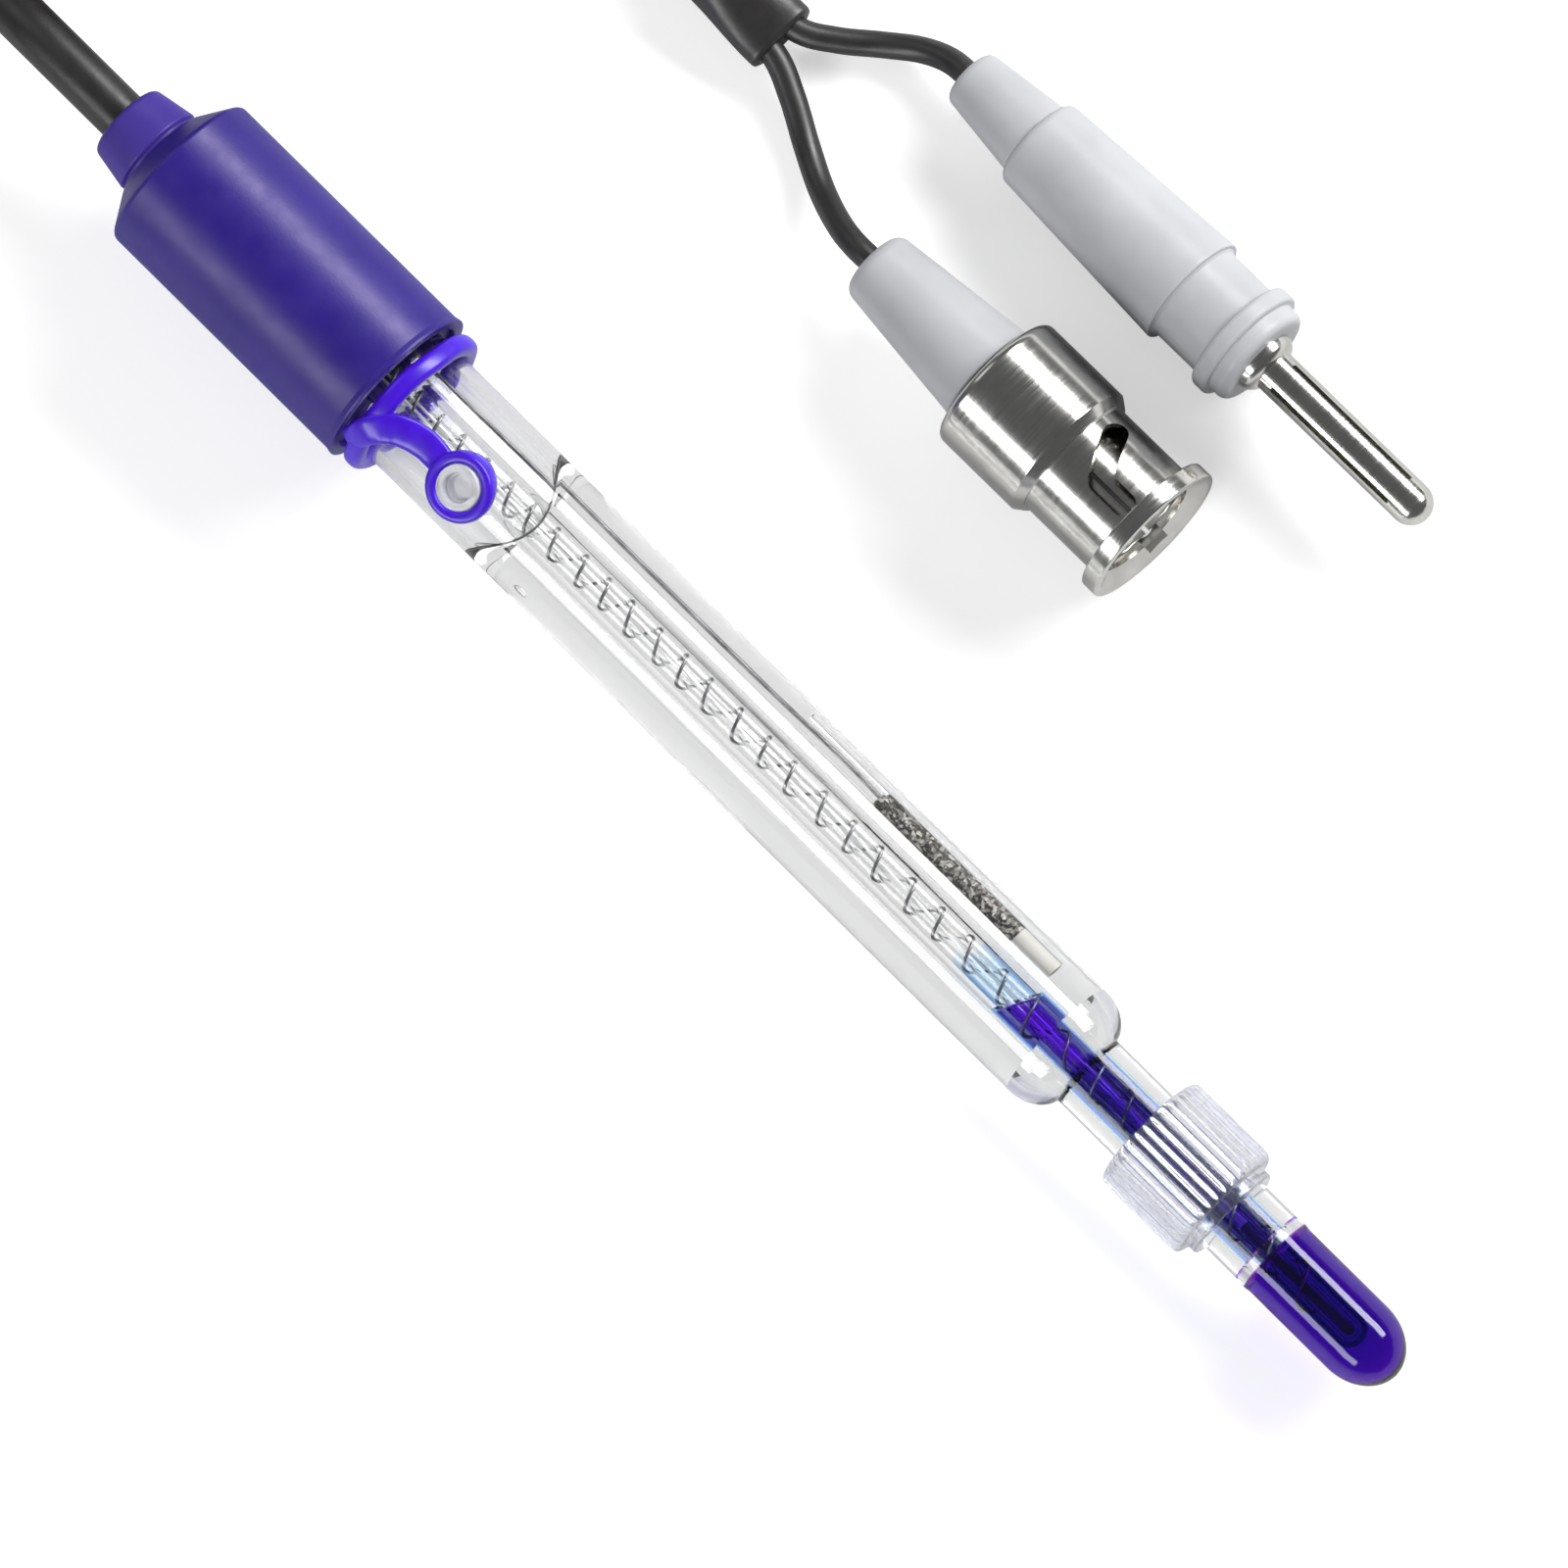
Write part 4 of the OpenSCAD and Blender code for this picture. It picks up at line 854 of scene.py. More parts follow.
def stemPiece():
    # one turned wall; its rings at the liquid's and the gel's edges follow their surfaces
    s = stemSizes
    wetFrom, gelFrom = liquidSizes["level"], gelSizes["top"]
    fused, seam = glassSizes["fused"], glassSizes["seam"]
    loop = [(s["inner"], gelFrom), (s["inner"], s["top"]), (s["radius"], s["top"]), (s["radius"], wetFrom),
            (s["radius"], fused), (s["radius"], seam), (s["inner"], seam)]
    verts, faces = weld(*lathe(roundCorners(loop, [0, 0.1, 0.1, 0, 0, 0, 0], 3), 96))
    verts = bendRing(verts, s["radius"], wetFrom, lambda y, z: liquidSurface(y, z, 1))
    verts = bendRing(verts, s["inner"], gelFrom, lambda y, z: gelSurface(y, 1))
    piece = makeObject("stemTube", toFloor(verts), faces, clearGlass, "electrode", 50)
    middle, nearSeam = (s["inner"] + s["radius"]) / 2, seam - 0.01
    finishFaces(piece, glassOnLiquid, lambda p, r, y, z: (
        (r > middle) & (p > liquidSurface(y, z, 1) + 0.1) & (p < fused)))
    finishFaces(piece, glassOnGel, lambda p, r, y, z: (
        ((r < middle) & (p > gelSurface(y, 1) + 0.1)) | (p > nearSeam)))
    finishFaces(piece, fusedWall, lambda p, r, y, z: (r > middle) & (p > fused) & (p < nearSeam))
    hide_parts("stem_tube")


stemPiece()


def domeProfile(radius, length, tip, steps=22):
    # a quarter of an ellipse, from the wall to the tip
    a = np.linspace(0, np.pi / 2, steps)
    return np.stack([radius * np.cos(a), tip - length + length * np.sin(a)], axis=-1)


def bulbPiece():
    # a turned wall: a rim fused to the neck, a short tube and a half ellipsoid, inside and out
    b = bulbSizes
    radiusIn, endIn, middle = b["radius"] - b["wall"], b["end"] - b["wall"], b["wall"] / 2
    outer = domeProfile(b["radius"], b["end"], b["tip"])
    inner = domeProfile(radiusIn, endIn, b["tip"] - b["wall"])[::-1]
    loop = [(b["radius"] + 0.07, b["seam"]), (b["radius"] + 0.09, b["seam"] + 0.15),
            (b["radius"], b["seam"] + 0.6)]
    loop += [tuple(p) for p in outer] + [tuple(p) for p in inner] + [(radiusIn, b["seam"])]
    loop[3 + len(outer)] = (0.0, b["tip"])  # both walls share this pole, so the glass thins out there
    piece = turnedPiece("membraneBulb", loop, membraneGlass, "electrode", sharp=60)
    nearSeam, domeFrom = b["seam"] + 0.01, b["tip"] - b["wall"] - endIn

    def innerWall(s, r, y, z):
        # the faces within an ellipsoid halfway through the wall
        far = np.hypot(r / (radiusIn + middle), np.maximum(s - domeFrom, 0) / (endIn + middle))
        return (s > nearSeam) & (far < 1)

    finishFaces(piece, glassOnGel, innerWall)
    finishFaces(piece, fusedWall, lambda s, r, y, z: s < nearSeam)
    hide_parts("membrane_bulb")


bulbPiece()


def shellOf(rings):
    # rings of (radius, place) at every angle, closed round and end to end
    segments = len(rings[0][1])
    a = np.linspace(0, 2 * np.pi, segments, endpoint=False)
    grid = np.stack([np.stack([s, r * np.cos(a), r * np.sin(a)], axis=-1) for r, s in rings])
    faces = loopFaces(len(rings), segments).tolist()
    skin = outwards(bareSolid("skin", *weld(grid.reshape(-1, 3), faces)))
    verts = np.array([v.co[:] for v in skin.data.vertices])
    faces = [list(f.vertices) for f in skin.data.polygons]
    bpy.data.objects.remove(skin, do_unlink=True)
    return verts, faces


def gelPiece():
    # the column in the stem, the fill of the bulb, the thin film that the gel leaves on the glass,
    # the deeper coloured column in the neck and the darkest gel round the capillary's end, each a
    # closed shell of rings round the capillary; the column's top is slanted
    b, g = bulbSizes, gelSizes
    inner, end = capillarySizes["radius"] - overlap, capillarySizes["end"]
    rWall = stemSizes["inner"] + overlap
    rCore = rWall - g["film"]
    rBulb = b["radius"] - b["wall"] + overlap
    a = np.linspace(0, 2 * np.pi, 96, endpoint=False)

    def flatRings(pairs):
        return [(max(r, 0.0), s * np.ones(len(a))) for r, s in pairs]

    top = [(radius, gelSurface(radius * np.cos(a), max(0.0, (radius / rWall - 0.75) / 0.25) ** 2))
           for radius in np.linspace(inner, rCore, 9)]
    part, seam, skin = g["neckFrom"], b["seam"], 0.01
    column = top + flatRings([(rCore, part), (inner, part)])
    lower = flatRings(ringProfile(inner, rCore, part + skin, seam - skin))
    edge = g["filmFrom"] + 1.1 * np.cos(a - 0.4) + 0.9 * np.cos(2 * a + 1) + 0.35 * np.cos(5 * a)
    film = [(rCore, edge), (rWall, edge - 0.1)] + flatRings([(rWall, seam), (rCore, seam)])
    fill = flatRings([(inner, seam), (rBulb, seam)])
    fill += flatRings(domeProfile(rBulb, b["end"] - b["wall"], b["tip"] - b["wall"] + overlap))
    fill += flatRings(domeProfile(inner, inner, end)[::-1])
    core = flatRings([(inner, seam + 0.2), (g["core"], seam + 0.4)])
    core += flatRings(domeProfile(g["core"], g["core"], end + 0.35))
    core += flatRings(domeProfile(inner + 0.02, inner + 0.02, end + 0.03)[::-1])
    shells = [shellOf(rings) for rings in (column, fill, film, lower, core)]
    verts, faces = joined(*shells)
    piece = makeObject("innerBuffer", toFloor(verts), faces, stemGel, "electrode", 50)
    which = np.repeat(np.arange(len(shells)), [len(moreFaces) for _, moreFaces in shells])
    for shell, material in enumerate((bulbGel, filmGel, neckGel, coreGel), 1):
        coatFaces(piece, material, which == shell)
    # the column's open top is marked, so that only it bends light
    s, y, z = faceMiddles(piece.data)
    far = np.hypot(y, z)
    free = (which == 0) & (s < gelSurface(y, 0) + 0.05) & (far < rCore - 0.004) & (far > inner + 0.004)
    mark = piece.data.attributes.new("freeSurface", "FLOAT", "FACE")
    mark.data.foreach_set("value", free.astype(float))
    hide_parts("inner_buffer")


gelPiece()

coilSizes = {"wire": 0.15, "radius": 1.25, "from": -11.7, "to": 113.9, "pitchFrom": 2.6, "pitchTo": 4.4}


def silverCoilPiece():
    # a helix whose rise grows evenly from one pitch to the other, so that after n turns
    # place = from + length (growth^(n / turns) - 1) / (growth - 1); a little wavy, as hand wound
    c = coilSizes
    length, growth = c["to"] - c["from"], c["pitchTo"] / c["pitchFrom"]
    turns = length * math.log(growth) / (c["pitchTo"] - c["pitchFrom"])
    n = np.linspace(0, turns, int(turns * 26))  # 26 points to the turn
    s = c["from"] + length * (growth ** (n / turns) - 1) / (growth - 1)
    a = 2 * np.pi * n
    s = s + 0.22 * np.sin(s * 0.61) + 0.12 * np.sin(s * 1.7 + 1)
    r = c["radius"] + 0.03 * np.sin(s * 0.9)
    line = np.stack([s, r * np.cos(a), r * np.sin(a)], axis=-1)
    verts, faces = sweptTube(line, c["wire"], 8, up=(1, 0, 0.001))
    piece = outwards(makeObject("silverCoil", toFloor(verts), faces, silverWire, "electrode", 60))
    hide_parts("silver_coil")


silverCoilPiece()


def capillaryPiece():
    # a turned wall closed by a dome; its ring at the gel's edge follows the slanted surface
    c = capillarySizes
    r, inside, end = c["radius"], c["inner"], c["end"]
    outer = domeProfile(r, r, end, 10)
    inner = domeProfile(inside, inside, end - (r - inside), 10)[::-1]
    loop = [(inside, c["top"]), (r, c["top"]), (r, gelSizes["top"])]
    loop += [tuple(p) for p in outer] + [tuple(p) for p in inner]
    loop[2 + len(outer)] = (0.0, end)
    verts, faces = weld(*lathe(loop, 48))
    verts = bendRing(verts, r, gelSizes["top"], lambda y, z: gelSurface(y, 0))
    piece = makeObject("sensorCapillary", toFloor(verts), faces, clearGlass, "electrode", 60)
    finishFaces(piece, glassOnGel, lambda s, far, y, z: (
        (s > gelSurface(y, 0) + 0.1) & (np.hypot(far, np.maximum(s - end + r, 0)) > (r + inside) / 2)))
    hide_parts("sensor_capillary")


capillaryPiece()

sensorSizes = {"from": 113.4, "to": 117.4, "radius": 0.5, "pasteFrom": 104.5, "pasteTo": 117.9,
               "pasteRadius": 0.585, "lead": 0.14, "spread": 0.3, "twist": 0.12}


def sensorPieces():
    # a turned bead in a turned column of paste, and two leads: y = spread cos(twist place),
    # z = spread sin(twist place), one lead on each side of the axis
    q = sensorSizes
    low, high, r = q["from"], q["to"], q["radius"]
    beadLoop = [(0, low), (r - 0.1, low + 0.1), (r, low + 0.4), (r, high - 0.4), (r - 0.15, high - 0.05),
                (0, high)]
    bead = turnedPiece("temperatureSensor", beadLoop, sensorResin, "electrode", segments=40, sharp=60)
    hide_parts("temperature_sensor")
    low, high, r = q["pasteFrom"], q["pasteTo"], q["pasteRadius"]
    turnedPiece("sensorPaste", [(0, low), (r, low + 0.2), (r, high - 0.6), (0.4, high - 0.15), (0, high)],
                sensorPaste, "electrode", segments=40, sharp=60)
    s = np.linspace(capillarySizes["top"], q["from"], 160)
    pair = []
    for side in (-1, 1):
        y, z = side * q["spread"] * np.cos(s * q["twist"]), side * q["spread"] * np.sin(s * q["twist"])
        pair.append(sweptTube(np.stack([s, y, z], axis=-1), q["lead"], 8))
    verts, faces = joined(*pair)
    leads = outwards(makeObject("sensorLeads", toFloor(verts), faces, leadWire, "electrode", 60))
    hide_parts("sensor_leads")


sensorPieces()

cartridgeSizes = {"radius": 1.1, "inner": 0.75, "from": 46.7, "to": 77.6, "fillFrom": 56.1, "fillTo": 73.1,
                  "offset": 3.75, "turn": math.radians(22)}
cartridgeAt = (cartridgeSizes["offset"] * math.cos(cartridgeSizes["turn"]),
               cartridgeSizes["offset"] * math.sin(cartridgeSizes["turn"]))


def cartridgePieces():
    # a turned tube, its fill and its plug, all about the cartridge's own axis
    c = cartridgeSizes
    loop = ringProfile(c["inner"], c["radius"], c["from"], c["to"])
    tube = turnedPiece("referenceCartridge", roundCorners(loop, [0.12] * 4, 4), glassOnLiquid, "electrode",
                       segments=64, offset=cartridgeAt, sharp=60)
    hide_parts("reference_cartridge")
    # the fill: packed grains, so its wall and both ends are uneven
    rng = np.random.default_rng(7)
    rows, segments = 150, 40
    s = np.linspace(c["fillFrom"], c["fillTo"], rows)
    a = np.linspace(0, 2 * np.pi, segments, endpoint=False)
    r = c["inner"] + overlap - 0.006 * rng.random((rows, segments))
    r[0] *= 0.7
    r[-1] *= 0.9
    x = np.repeat(s[:, None], segments, 1) + 0.05 * (rng.random((rows, segments)) - 0.5)
    x[:3] += 0.5 * np.cos(a + 0.8)[None] * np.array([1.0, 0.7, 0.35])[:, None]
    x[:3] = np.maximum(x[:3], c["fillFrom"])
    y, z = cartridgeAt[0] + r * np.cos(a), cartridgeAt[1] + r * np.sin(a)
    verts = np.stack([x, y, z], axis=-1).reshape(-1, 3)
    fill = outwards(makeObject("silverChloride", toFloor(verts), tubeFaces(rows, segments), chlorideGrains,
                               "electrode", 80))
    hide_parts("silver_chloride")
    loop = ringProfile(0, c["inner"] - 0.02, c["fillTo"], c["to"])
    plug = turnedPiece("cartridgePlug", roundCorners(loop, [0, 0.08, 0.15, 0], 3), plugCeramic, "electrode",
                       segments=40, offset=cartridgeAt, sharp=60)
    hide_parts("cartridge_plug")


cartridgePieces()


def referenceWirePiece():
    # a thin wire, along listed points from the potting to the middle of the cartridge
    y, z = cartridgeAt
    way = [(-9.0, y - 0.2, z - 0.4), (0, y - 0.25, z - 0.45), (14, y - 0.1, z - 0.3),
           (28.02, y - 0.2, z - 0.4), (40, y - 0.15, z - 0.2), (cartridgeSizes["from"], y, z),
           (52, y + 0.1, z + 0.05), (cartridgeSizes["fillFrom"], y, z)]
    verts, faces = sweptTube(smoothLine(way, 0.4), 0.2, 12)
    piece = outwards(makeObject("referenceWire", toFloor(verts), faces, silverWire, "electrode", 60))
    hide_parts("reference_wire")


referenceWirePiece()


def crustAndShadeRing(edge):
    # a dark ring along the liquid's edge on the glass, thinner at the tube's sides: a salt crust, and painted
    # shade that stands in for the meniscus's dark line;
    #     # radius = thickness (0.3 + 0.7 |sin angle|)
    edgeRingThickness = liquidSizes["edgeRingThickness"]
    a = np.linspace(0, 2 * np.pi, 241)[:-1]
    y, z = edge * np.cos(a), edge * np.sin(a)
    line = np.stack([liquidSurface(y, z, 0.6), y, z], axis=-1)
    thickness = edgeRingThickness * (0.3 + 0.7 * np.abs(np.sin(a)))
    return sweptTube(line, thickness[:, None, None], 10, up=(1, 0, 0), closed=True)


def electrolytePiece():
    # between the stem and the shaft, open at the top, where it creeps up both walls; the cartridge
    # and one bubble stand in it in pockets of their own
    g, c, q = glassSizes, cartridgeSizes, liquidSizes
    outerR, innerR, neckR = g["inner"] + overlap, stemSizes["radius"] - overlap, g["neckInner"] + overlap
    segments = 192
    a = np.linspace(0, 2 * np.pi, segments, endpoint=False)
    climb = 0.3  # how near a wall the liquid starts to creep
    rows = []
    for radius in np.concatenate([innerR + np.linspace(0, climb, 6),
                                  np.linspace(innerR + climb + 0.1, outerR - climb - 0.1, 14),
                                  outerR - np.linspace(climb, 0, 6)]):
        atWall = max(0.0, 1 - (outerR - radius) / climb, 1 - (radius - innerR) / climb)
        rows.append((radius, liquidSurface(radius * np.cos(a), radius * np.sin(a), atWall ** 2)))
    below = [tuple(p) for p in blownShoulder(outerR, neckR, *innerShoulder)]
    below += [(neckR, g["neckStart"]), (neckR, g["fused"] - 0.15), (innerR, g["fused"])]
    rows += [(r, np.full(segments, s)) for r, s in below]
    hole, core = c["radius"] - overlap, c["inner"] + overlap
    pocket = [(0, c["fillFrom"] - 0.02), (core, c["fillFrom"] - 0.02), (core, c["from"] + 0.02),
              (hole, c["from"] + 0.02), (hole, c["to"] - 0.02), (0, c["to"] - 0.02)]
    turns = np.linspace(0, np.pi, 15)
    bx, by, bz = q["bubble"]
    bubble = np.stack([0.28 * np.sin(turns), bx + 0.75 * np.cos(turns)], axis=-1)
    liquid = joined(shellOf(rows), weld(*lathe(pocket, 64, cartridgeAt, inward=True)),
                    weld(*lathe(bubble, 64, (by, bz), inward=True)))
    verts, faces = joined(liquid, crustAndShadeRing(outerR - q["edgeRingThickness"] - 0.02))
    piece = makeObject("referenceElectrolyte", toFloor(verts), faces, clearLiquid, "electrode", 50)
    finishFaces(piece, fusedWall, lambda s, r, y, z: (
        ((s > liquidSurface(y, z, 0) + 0.1) | (r > outerR - 0.004) | (r < innerR + 0.004))
        & (np.hypot(np.hypot(s - bx, y - by), z - bz) > 1)))
    # the ring's faces get the grey-black finish: salt crust, and painted shade for the meniscus's dark line
    coatFaces(piece, crustAndMeniscusShade, np.arange(len(piece.data.polygons)) >= len(liquid[1]))
    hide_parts("reference_electrolyte")


electrolytePiece()
print("glass, gel and electrolyte made")

# refill closure

bandSizes = {"at": 1.75, "width": 1.9, "inner": 6.02, "outer": 7.7, "power": 2.6}


def bandPiece():
    # the ring: a superellipse turned about the tube, a little wavy like a stretched rubber ring
    b = bandSizes
    rows, segments = 40, 180
    t = np.linspace(0, 2 * np.pi, rows, endpoint=False)
    a = np.linspace(0, 2 * np.pi, segments, endpoint=False)
    half = b["width"] / 2
    depth = (b["outer"] - b["inner"]) / 2
    mid = (b["outer"] + b["inner"]) / 2
    x = half * squarer(np.cos(t), b["power"])
    r = mid + depth * squarer(np.sin(t), b["power"])
    wave = 0.05 * np.sin(3 * a) + 0.04 * np.sin(7 * a + 1)
    xs = b["at"] + x[:, None] + wave[None]
    rs = np.where(np.sin(t)[:, None] > 0, r[:, None] - 0.04 + 0.04 * np.sin(5 * a)[None], r[:, None])
    verts = np.stack([xs, rs * np.cos(a), rs * np.sin(a)], axis=-1).reshape(-1, 3)
    piece = outwards(makeObject("refillBand", toFloor(verts), loopFaces(rows, segments).tolist(),
                                violetSilicone, "electrode", 60))
    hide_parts("refill_band")


bandPiece()

# stations of the strap: place, sideways, height of its middle above the axis, width, thickness
strapStations = [(0.75, -4.6, 7.1, 1.7, 1.0), (1.35, -3.6, 7.3, 2.3, 1.15), (1.95, -2.3, 7.42, 2.6, 1.2),
                 (2.75, -1.15, 7.3, 2.8, 1.1), (3.8, -0.35, 6.95, 2.85, 0.95), (5.2, 0.15, 6.62, 2.85, 0.8),
                 (6.6, 0.42, 6.52, 2.8, 0.75), (7.9, 0.4, 6.55, 2.7, 0.8), (8.9, 0.3, 6.65, 2.6, 0.95)]
strapFold = {"from": (5.6, 0, 6.5), "to": (8.1, 0, 6.5)}  # the stretch where the real strap bends as the plug lifts; strapPiece only turns its ends onto the floor and bends nothing


def strapPiece():
    # a ribbon of rounded section carried along the stations, bent over the tube
    st = np.array(strapStations)
    rows, sides, power = 70, 36, 3.2
    key = np.linspace(0, 1, len(st))
    u = np.linspace(0, 1, rows)
    c = np.stack([np.interp(u, key, st[:, k]) for k in range(5)], axis=-1)
    for _ in range(6):  # each pass softens the corners at the stations
        c[1:-1] = 0.25 * c[:-2] + 0.5 * c[1:-1] + 0.25 * c[2:]
    direction = np.gradient(c[:, :2], axis=0)
    direction /= np.linalg.norm(direction, axis=1)[:, None]
    normal = np.stack([-direction[:, 1], direction[:, 0]], axis=-1)
    a = np.linspace(0, 2 * np.pi, sides, endpoint=False)[None]
    sideways = c[:, 3:4] / 2 * squarer(np.cos(a), power)
    x = c[:, 0:1] + normal[:, 0:1] * sideways
    y = c[:, 1:2] + normal[:, 1:2] * sideways
    z = np.sqrt(np.maximum(c[:, 2:3] ** 2 - y ** 2, 1)) + c[:, 4:5] / 2 * squarer(np.sin(a), power)
    verts = np.stack([x, y, z], axis=-1).reshape(-1, 3)
    piece = outwards(makeObject("refillStrap", toFloor(fromRefill(verts)), tubeFaces(rows, sides),
                                violetSilicone, None, 60))
    start, end = toFloor(fromRefill([strapFold["from"], strapFold["to"]]))
    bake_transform(piece)


strapPiece()

eyeletSizes = {"at": 11.45, "outer": 3.2, "hole": 2.1, "top": 7.5, "clear": 0.12, "power": 3.0}


def eyeletPiece():
    # a ring of rounded section whose underside follows the tube
    e = eyeletSizes
    rows, segments = 32, 96
    t = np.linspace(0, 2 * np.pi, rows, endpoint=False)
    a = np.linspace(0, 2 * np.pi, segments, endpoint=False)
    mid, half = (e["outer"] + e["hole"]) / 2, (e["outer"] - e["hole"]) / 2
    r = mid + half * squarer(np.cos(t), e["power"])
    x = r[:, None] * np.cos(a)[None]
    y = r[:, None] * np.sin(a)[None]
    floor = np.sqrt((glassSizes["radius"] + e["clear"]) ** 2 - y ** 2)
    level = (1 + squarer(np.sin(t), e["power"])) / 2
    z = floor + (e["top"] - floor) * level[:, None]
    verts = np.stack([e["at"] + x, y, z], axis=-1).reshape(-1, 3)
    faces = loopFaces(rows, segments).tolist()
    piece = outwards(makeObject("refillEyelet", toFloor(fromRefill(verts)), faces, violetSilicone,
                                "stopper", 60))
    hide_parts("refill_eyelet")


eyeletPiece()

stopperSizes = {"radius": 2.08, "top": 7.6, "recess": 1.35, "recessDepth": 1.2, "head": 6.15,
                "stem": 1.32, "stemEnd": 1.12, "bottom": 4.8}


def stopperPiece():
    # head, recess and tapered stem turned about the hole's own axis
    s = stopperSizes
    recessFloor = s["top"] - s["recessDepth"]
    loop = [(0, recessFloor), (s["recess"], recessFloor), (s["recess"], s["top"]), (s["radius"], s["top"]),
            (s["radius"], s["head"]), (s["stem"], s["head"]), (s["stem"], glassSizes["radius"]),
            (s["stemEnd"], s["bottom"]), (0, s["bottom"])]
    profile = roundCorners(loop, [0, 0.25, 0.18, 0.3, 0.1, 0.05, 0, 0.25, 0], 5)
    verts, faces = weld(*lathe(profile, 96))
    turned = np.stack([glassSizes["refillAt"] + verts[:, 1], verts[:, 2], verts[:, 0]], axis=-1)
    piece = outwards(makeObject("refillPlug", toFloor(fromRefill(turned)), faces, stopperPlastic,
                                "stopper", 60))
    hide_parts("refill_plug")


stopperPiece()
print("refill closure made")

# junction sleeve

sleeveSizes = {"from": 92.7, "to": 102.1, "radius": 5.9, "ribs": 40, "depth": 0.42, "edge": 0.8, "lip": 4.65,
               "lipLength": 1.1, "lipEdge": 0.25, "bore": 3.71}


def sleevePiece():
    # radius = crest - depth (1 - |sin(ribs angle / 2)|)^2 along the ribs, drawn in round both ends
    w = sleeveSizes
    segments = w["ribs"] * 14
    a = np.linspace(0, 2 * np.pi, segments, endpoint=False)
    rib = (1 - np.abs(np.sin(w["ribs"] * a / 2))) ** 2
    quarter = np.linspace(0, np.pi / 2, 9)
    edge, lipEdge, lipEnd = w["edge"], w["lipEdge"], w["to"] + w["lipLength"]
    rows = []

    def ring(radius, place, ribbed=0.0):
        r = np.full(segments, radius) - ribbed * w["depth"] * rib
        rows.append(np.stack([np.full(segments, place), r * np.cos(a), r * np.sin(a)], axis=-1))

    ring(w["bore"], w["from"])
    ring(w["bore"] + 0.6, w["from"])
    for q in quarter:
        ring(w["radius"] - edge + edge * math.sin(q), w["from"] + edge - edge * math.cos(q), math.sin(q) ** 2)
    for place in np.linspace(w["from"] + edge, w["to"] - edge, 9)[1:-1]:
        ring(w["radius"], place, 1)
    for q in quarter[::-1]:
        ring(w["radius"] - edge + edge * math.sin(q), w["to"] - edge + edge * math.cos(q), math.sin(q) ** 2)
    ring(w["lip"] + 0.1, w["to"])
    ring(w["lip"], w["to"] + 0.1)
    for q in quarter:
        ring(w["lip"] - lipEdge + lipEdge * math.cos(q), lipEnd - lipEdge + lipEdge * math.sin(q))
    ring(w["bore"] + 0.05, lipEnd)
    ring(w["bore"] + 0.05, w["to"])
    verts = np.stack(rows).reshape(-1, 3)
    piece = outwards(makeObject("junctionSleeve", toFloor(verts), loopFaces(len(rows), segments).tolist(),
                                sleevePlastic, "sleeve", 70))
    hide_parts("junction_sleeve")


sleevePiece()
print("junction sleeve made")

# signal plug

signalSizes = {"boot": 14.6, "bootSmall": 3.4, "bootLarge": 4.9, "lead": 1.22, "bodyHole": 2.97, "nut": 15.0,
               "nutHole": 4.26, "nutWall": 1.4, "grip": 24.2, "sleeve": 25.1, "flange": 33.3, "face": 35.0,
               "gripRadius": 6.85, "sleeveRadius": 5.9, "flangeRadius": 7.2, "bore": 4.9, "cavity": 5.75,
               "cavityEnd": 19.9, "slot": 2.2, "armAngle": math.radians(30), "arm": 4.4}
bodySizes = {"from": 9.2, "tail": 2.95, "neckFrom": 14.65, "neck": 4.2, "collarFrom": 17.1, "collar": 5.5,
             "socketFrom": 18.5, "socket": 4.05, "socketInner": 3.45, "socketEnd": 33.5, "lead": 1.18,
             "cutFrom": 27.5, "cut": 0.2}
insulatorSizes = {"hole": 0.7, "radius": 3.43, "end": 33.0, "cavity": 2.45, "cavityFrom": 22.5}
pinSizes = {"from": 15.5, "radius": 0.675, "taperFrom": 30.9, "end": 32.1}
washerSizes = {"signalSpring": (4.28, 5.4, 16.5, 17.0), "signalGasket": (4.07, 5.4, 18.5, 19.5)}


def signalBoot():
    # a turned cone with a way for the lead and a seat for the body
    n, seat = signalSizes, bodySizes["from"]
    loop = [(n["lead"], 0), (n["bootSmall"], 0), (n["bootLarge"], n["boot"]), (n["bodyHole"], n["boot"]),
            (n["bodyHole"], seat), (n["lead"], seat)]
    piece = turnedPiece("signalBoot", roundCorners(loop, [0.2, 1.3, 0.25, 0.05, 0.05, 0.05], 7), plugPlastic,
                        "electrode", toPlug("signal"))
    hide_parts("signal_boot")


signalBoot()


def slotCutter(line, half, high, turn):
    # an outline round the line, with round ends, straight up from the axis
    p, q = np.array(line[0], float), np.array(line[1], float)
    ahead = (q - p) / np.linalg.norm(q - p)
    start = math.atan2(ahead[1], ahead[0])
    a = np.concatenate([start + np.linspace(math.pi / 2, 3 * math.pi / 2, 13),
                        start + np.linspace(-math.pi / 2, math.pi / 2, 13)])
    centre = np.concatenate([np.repeat(p[None], 13, 0), np.repeat(q[None], 13, 0)])
    ring = centre + half * np.stack([np.cos(a), np.sin(a)], axis=-1)
    count = len(ring)
    verts = np.vstack([np.column_stack([ring, np.full(count, level)]) for level in (0.0, high)])
    k = np.arange(count)
    faces = np.stack([k, (k + 1) % count, count + (k + 1) % count, count + k], axis=-1).tolist()
    faces += [list(range(count))[::-1], list(range(count, 2 * count))]
    return bareSolid("slotCutter", toPlug("signal")(rolled(verts, turn)), faces)


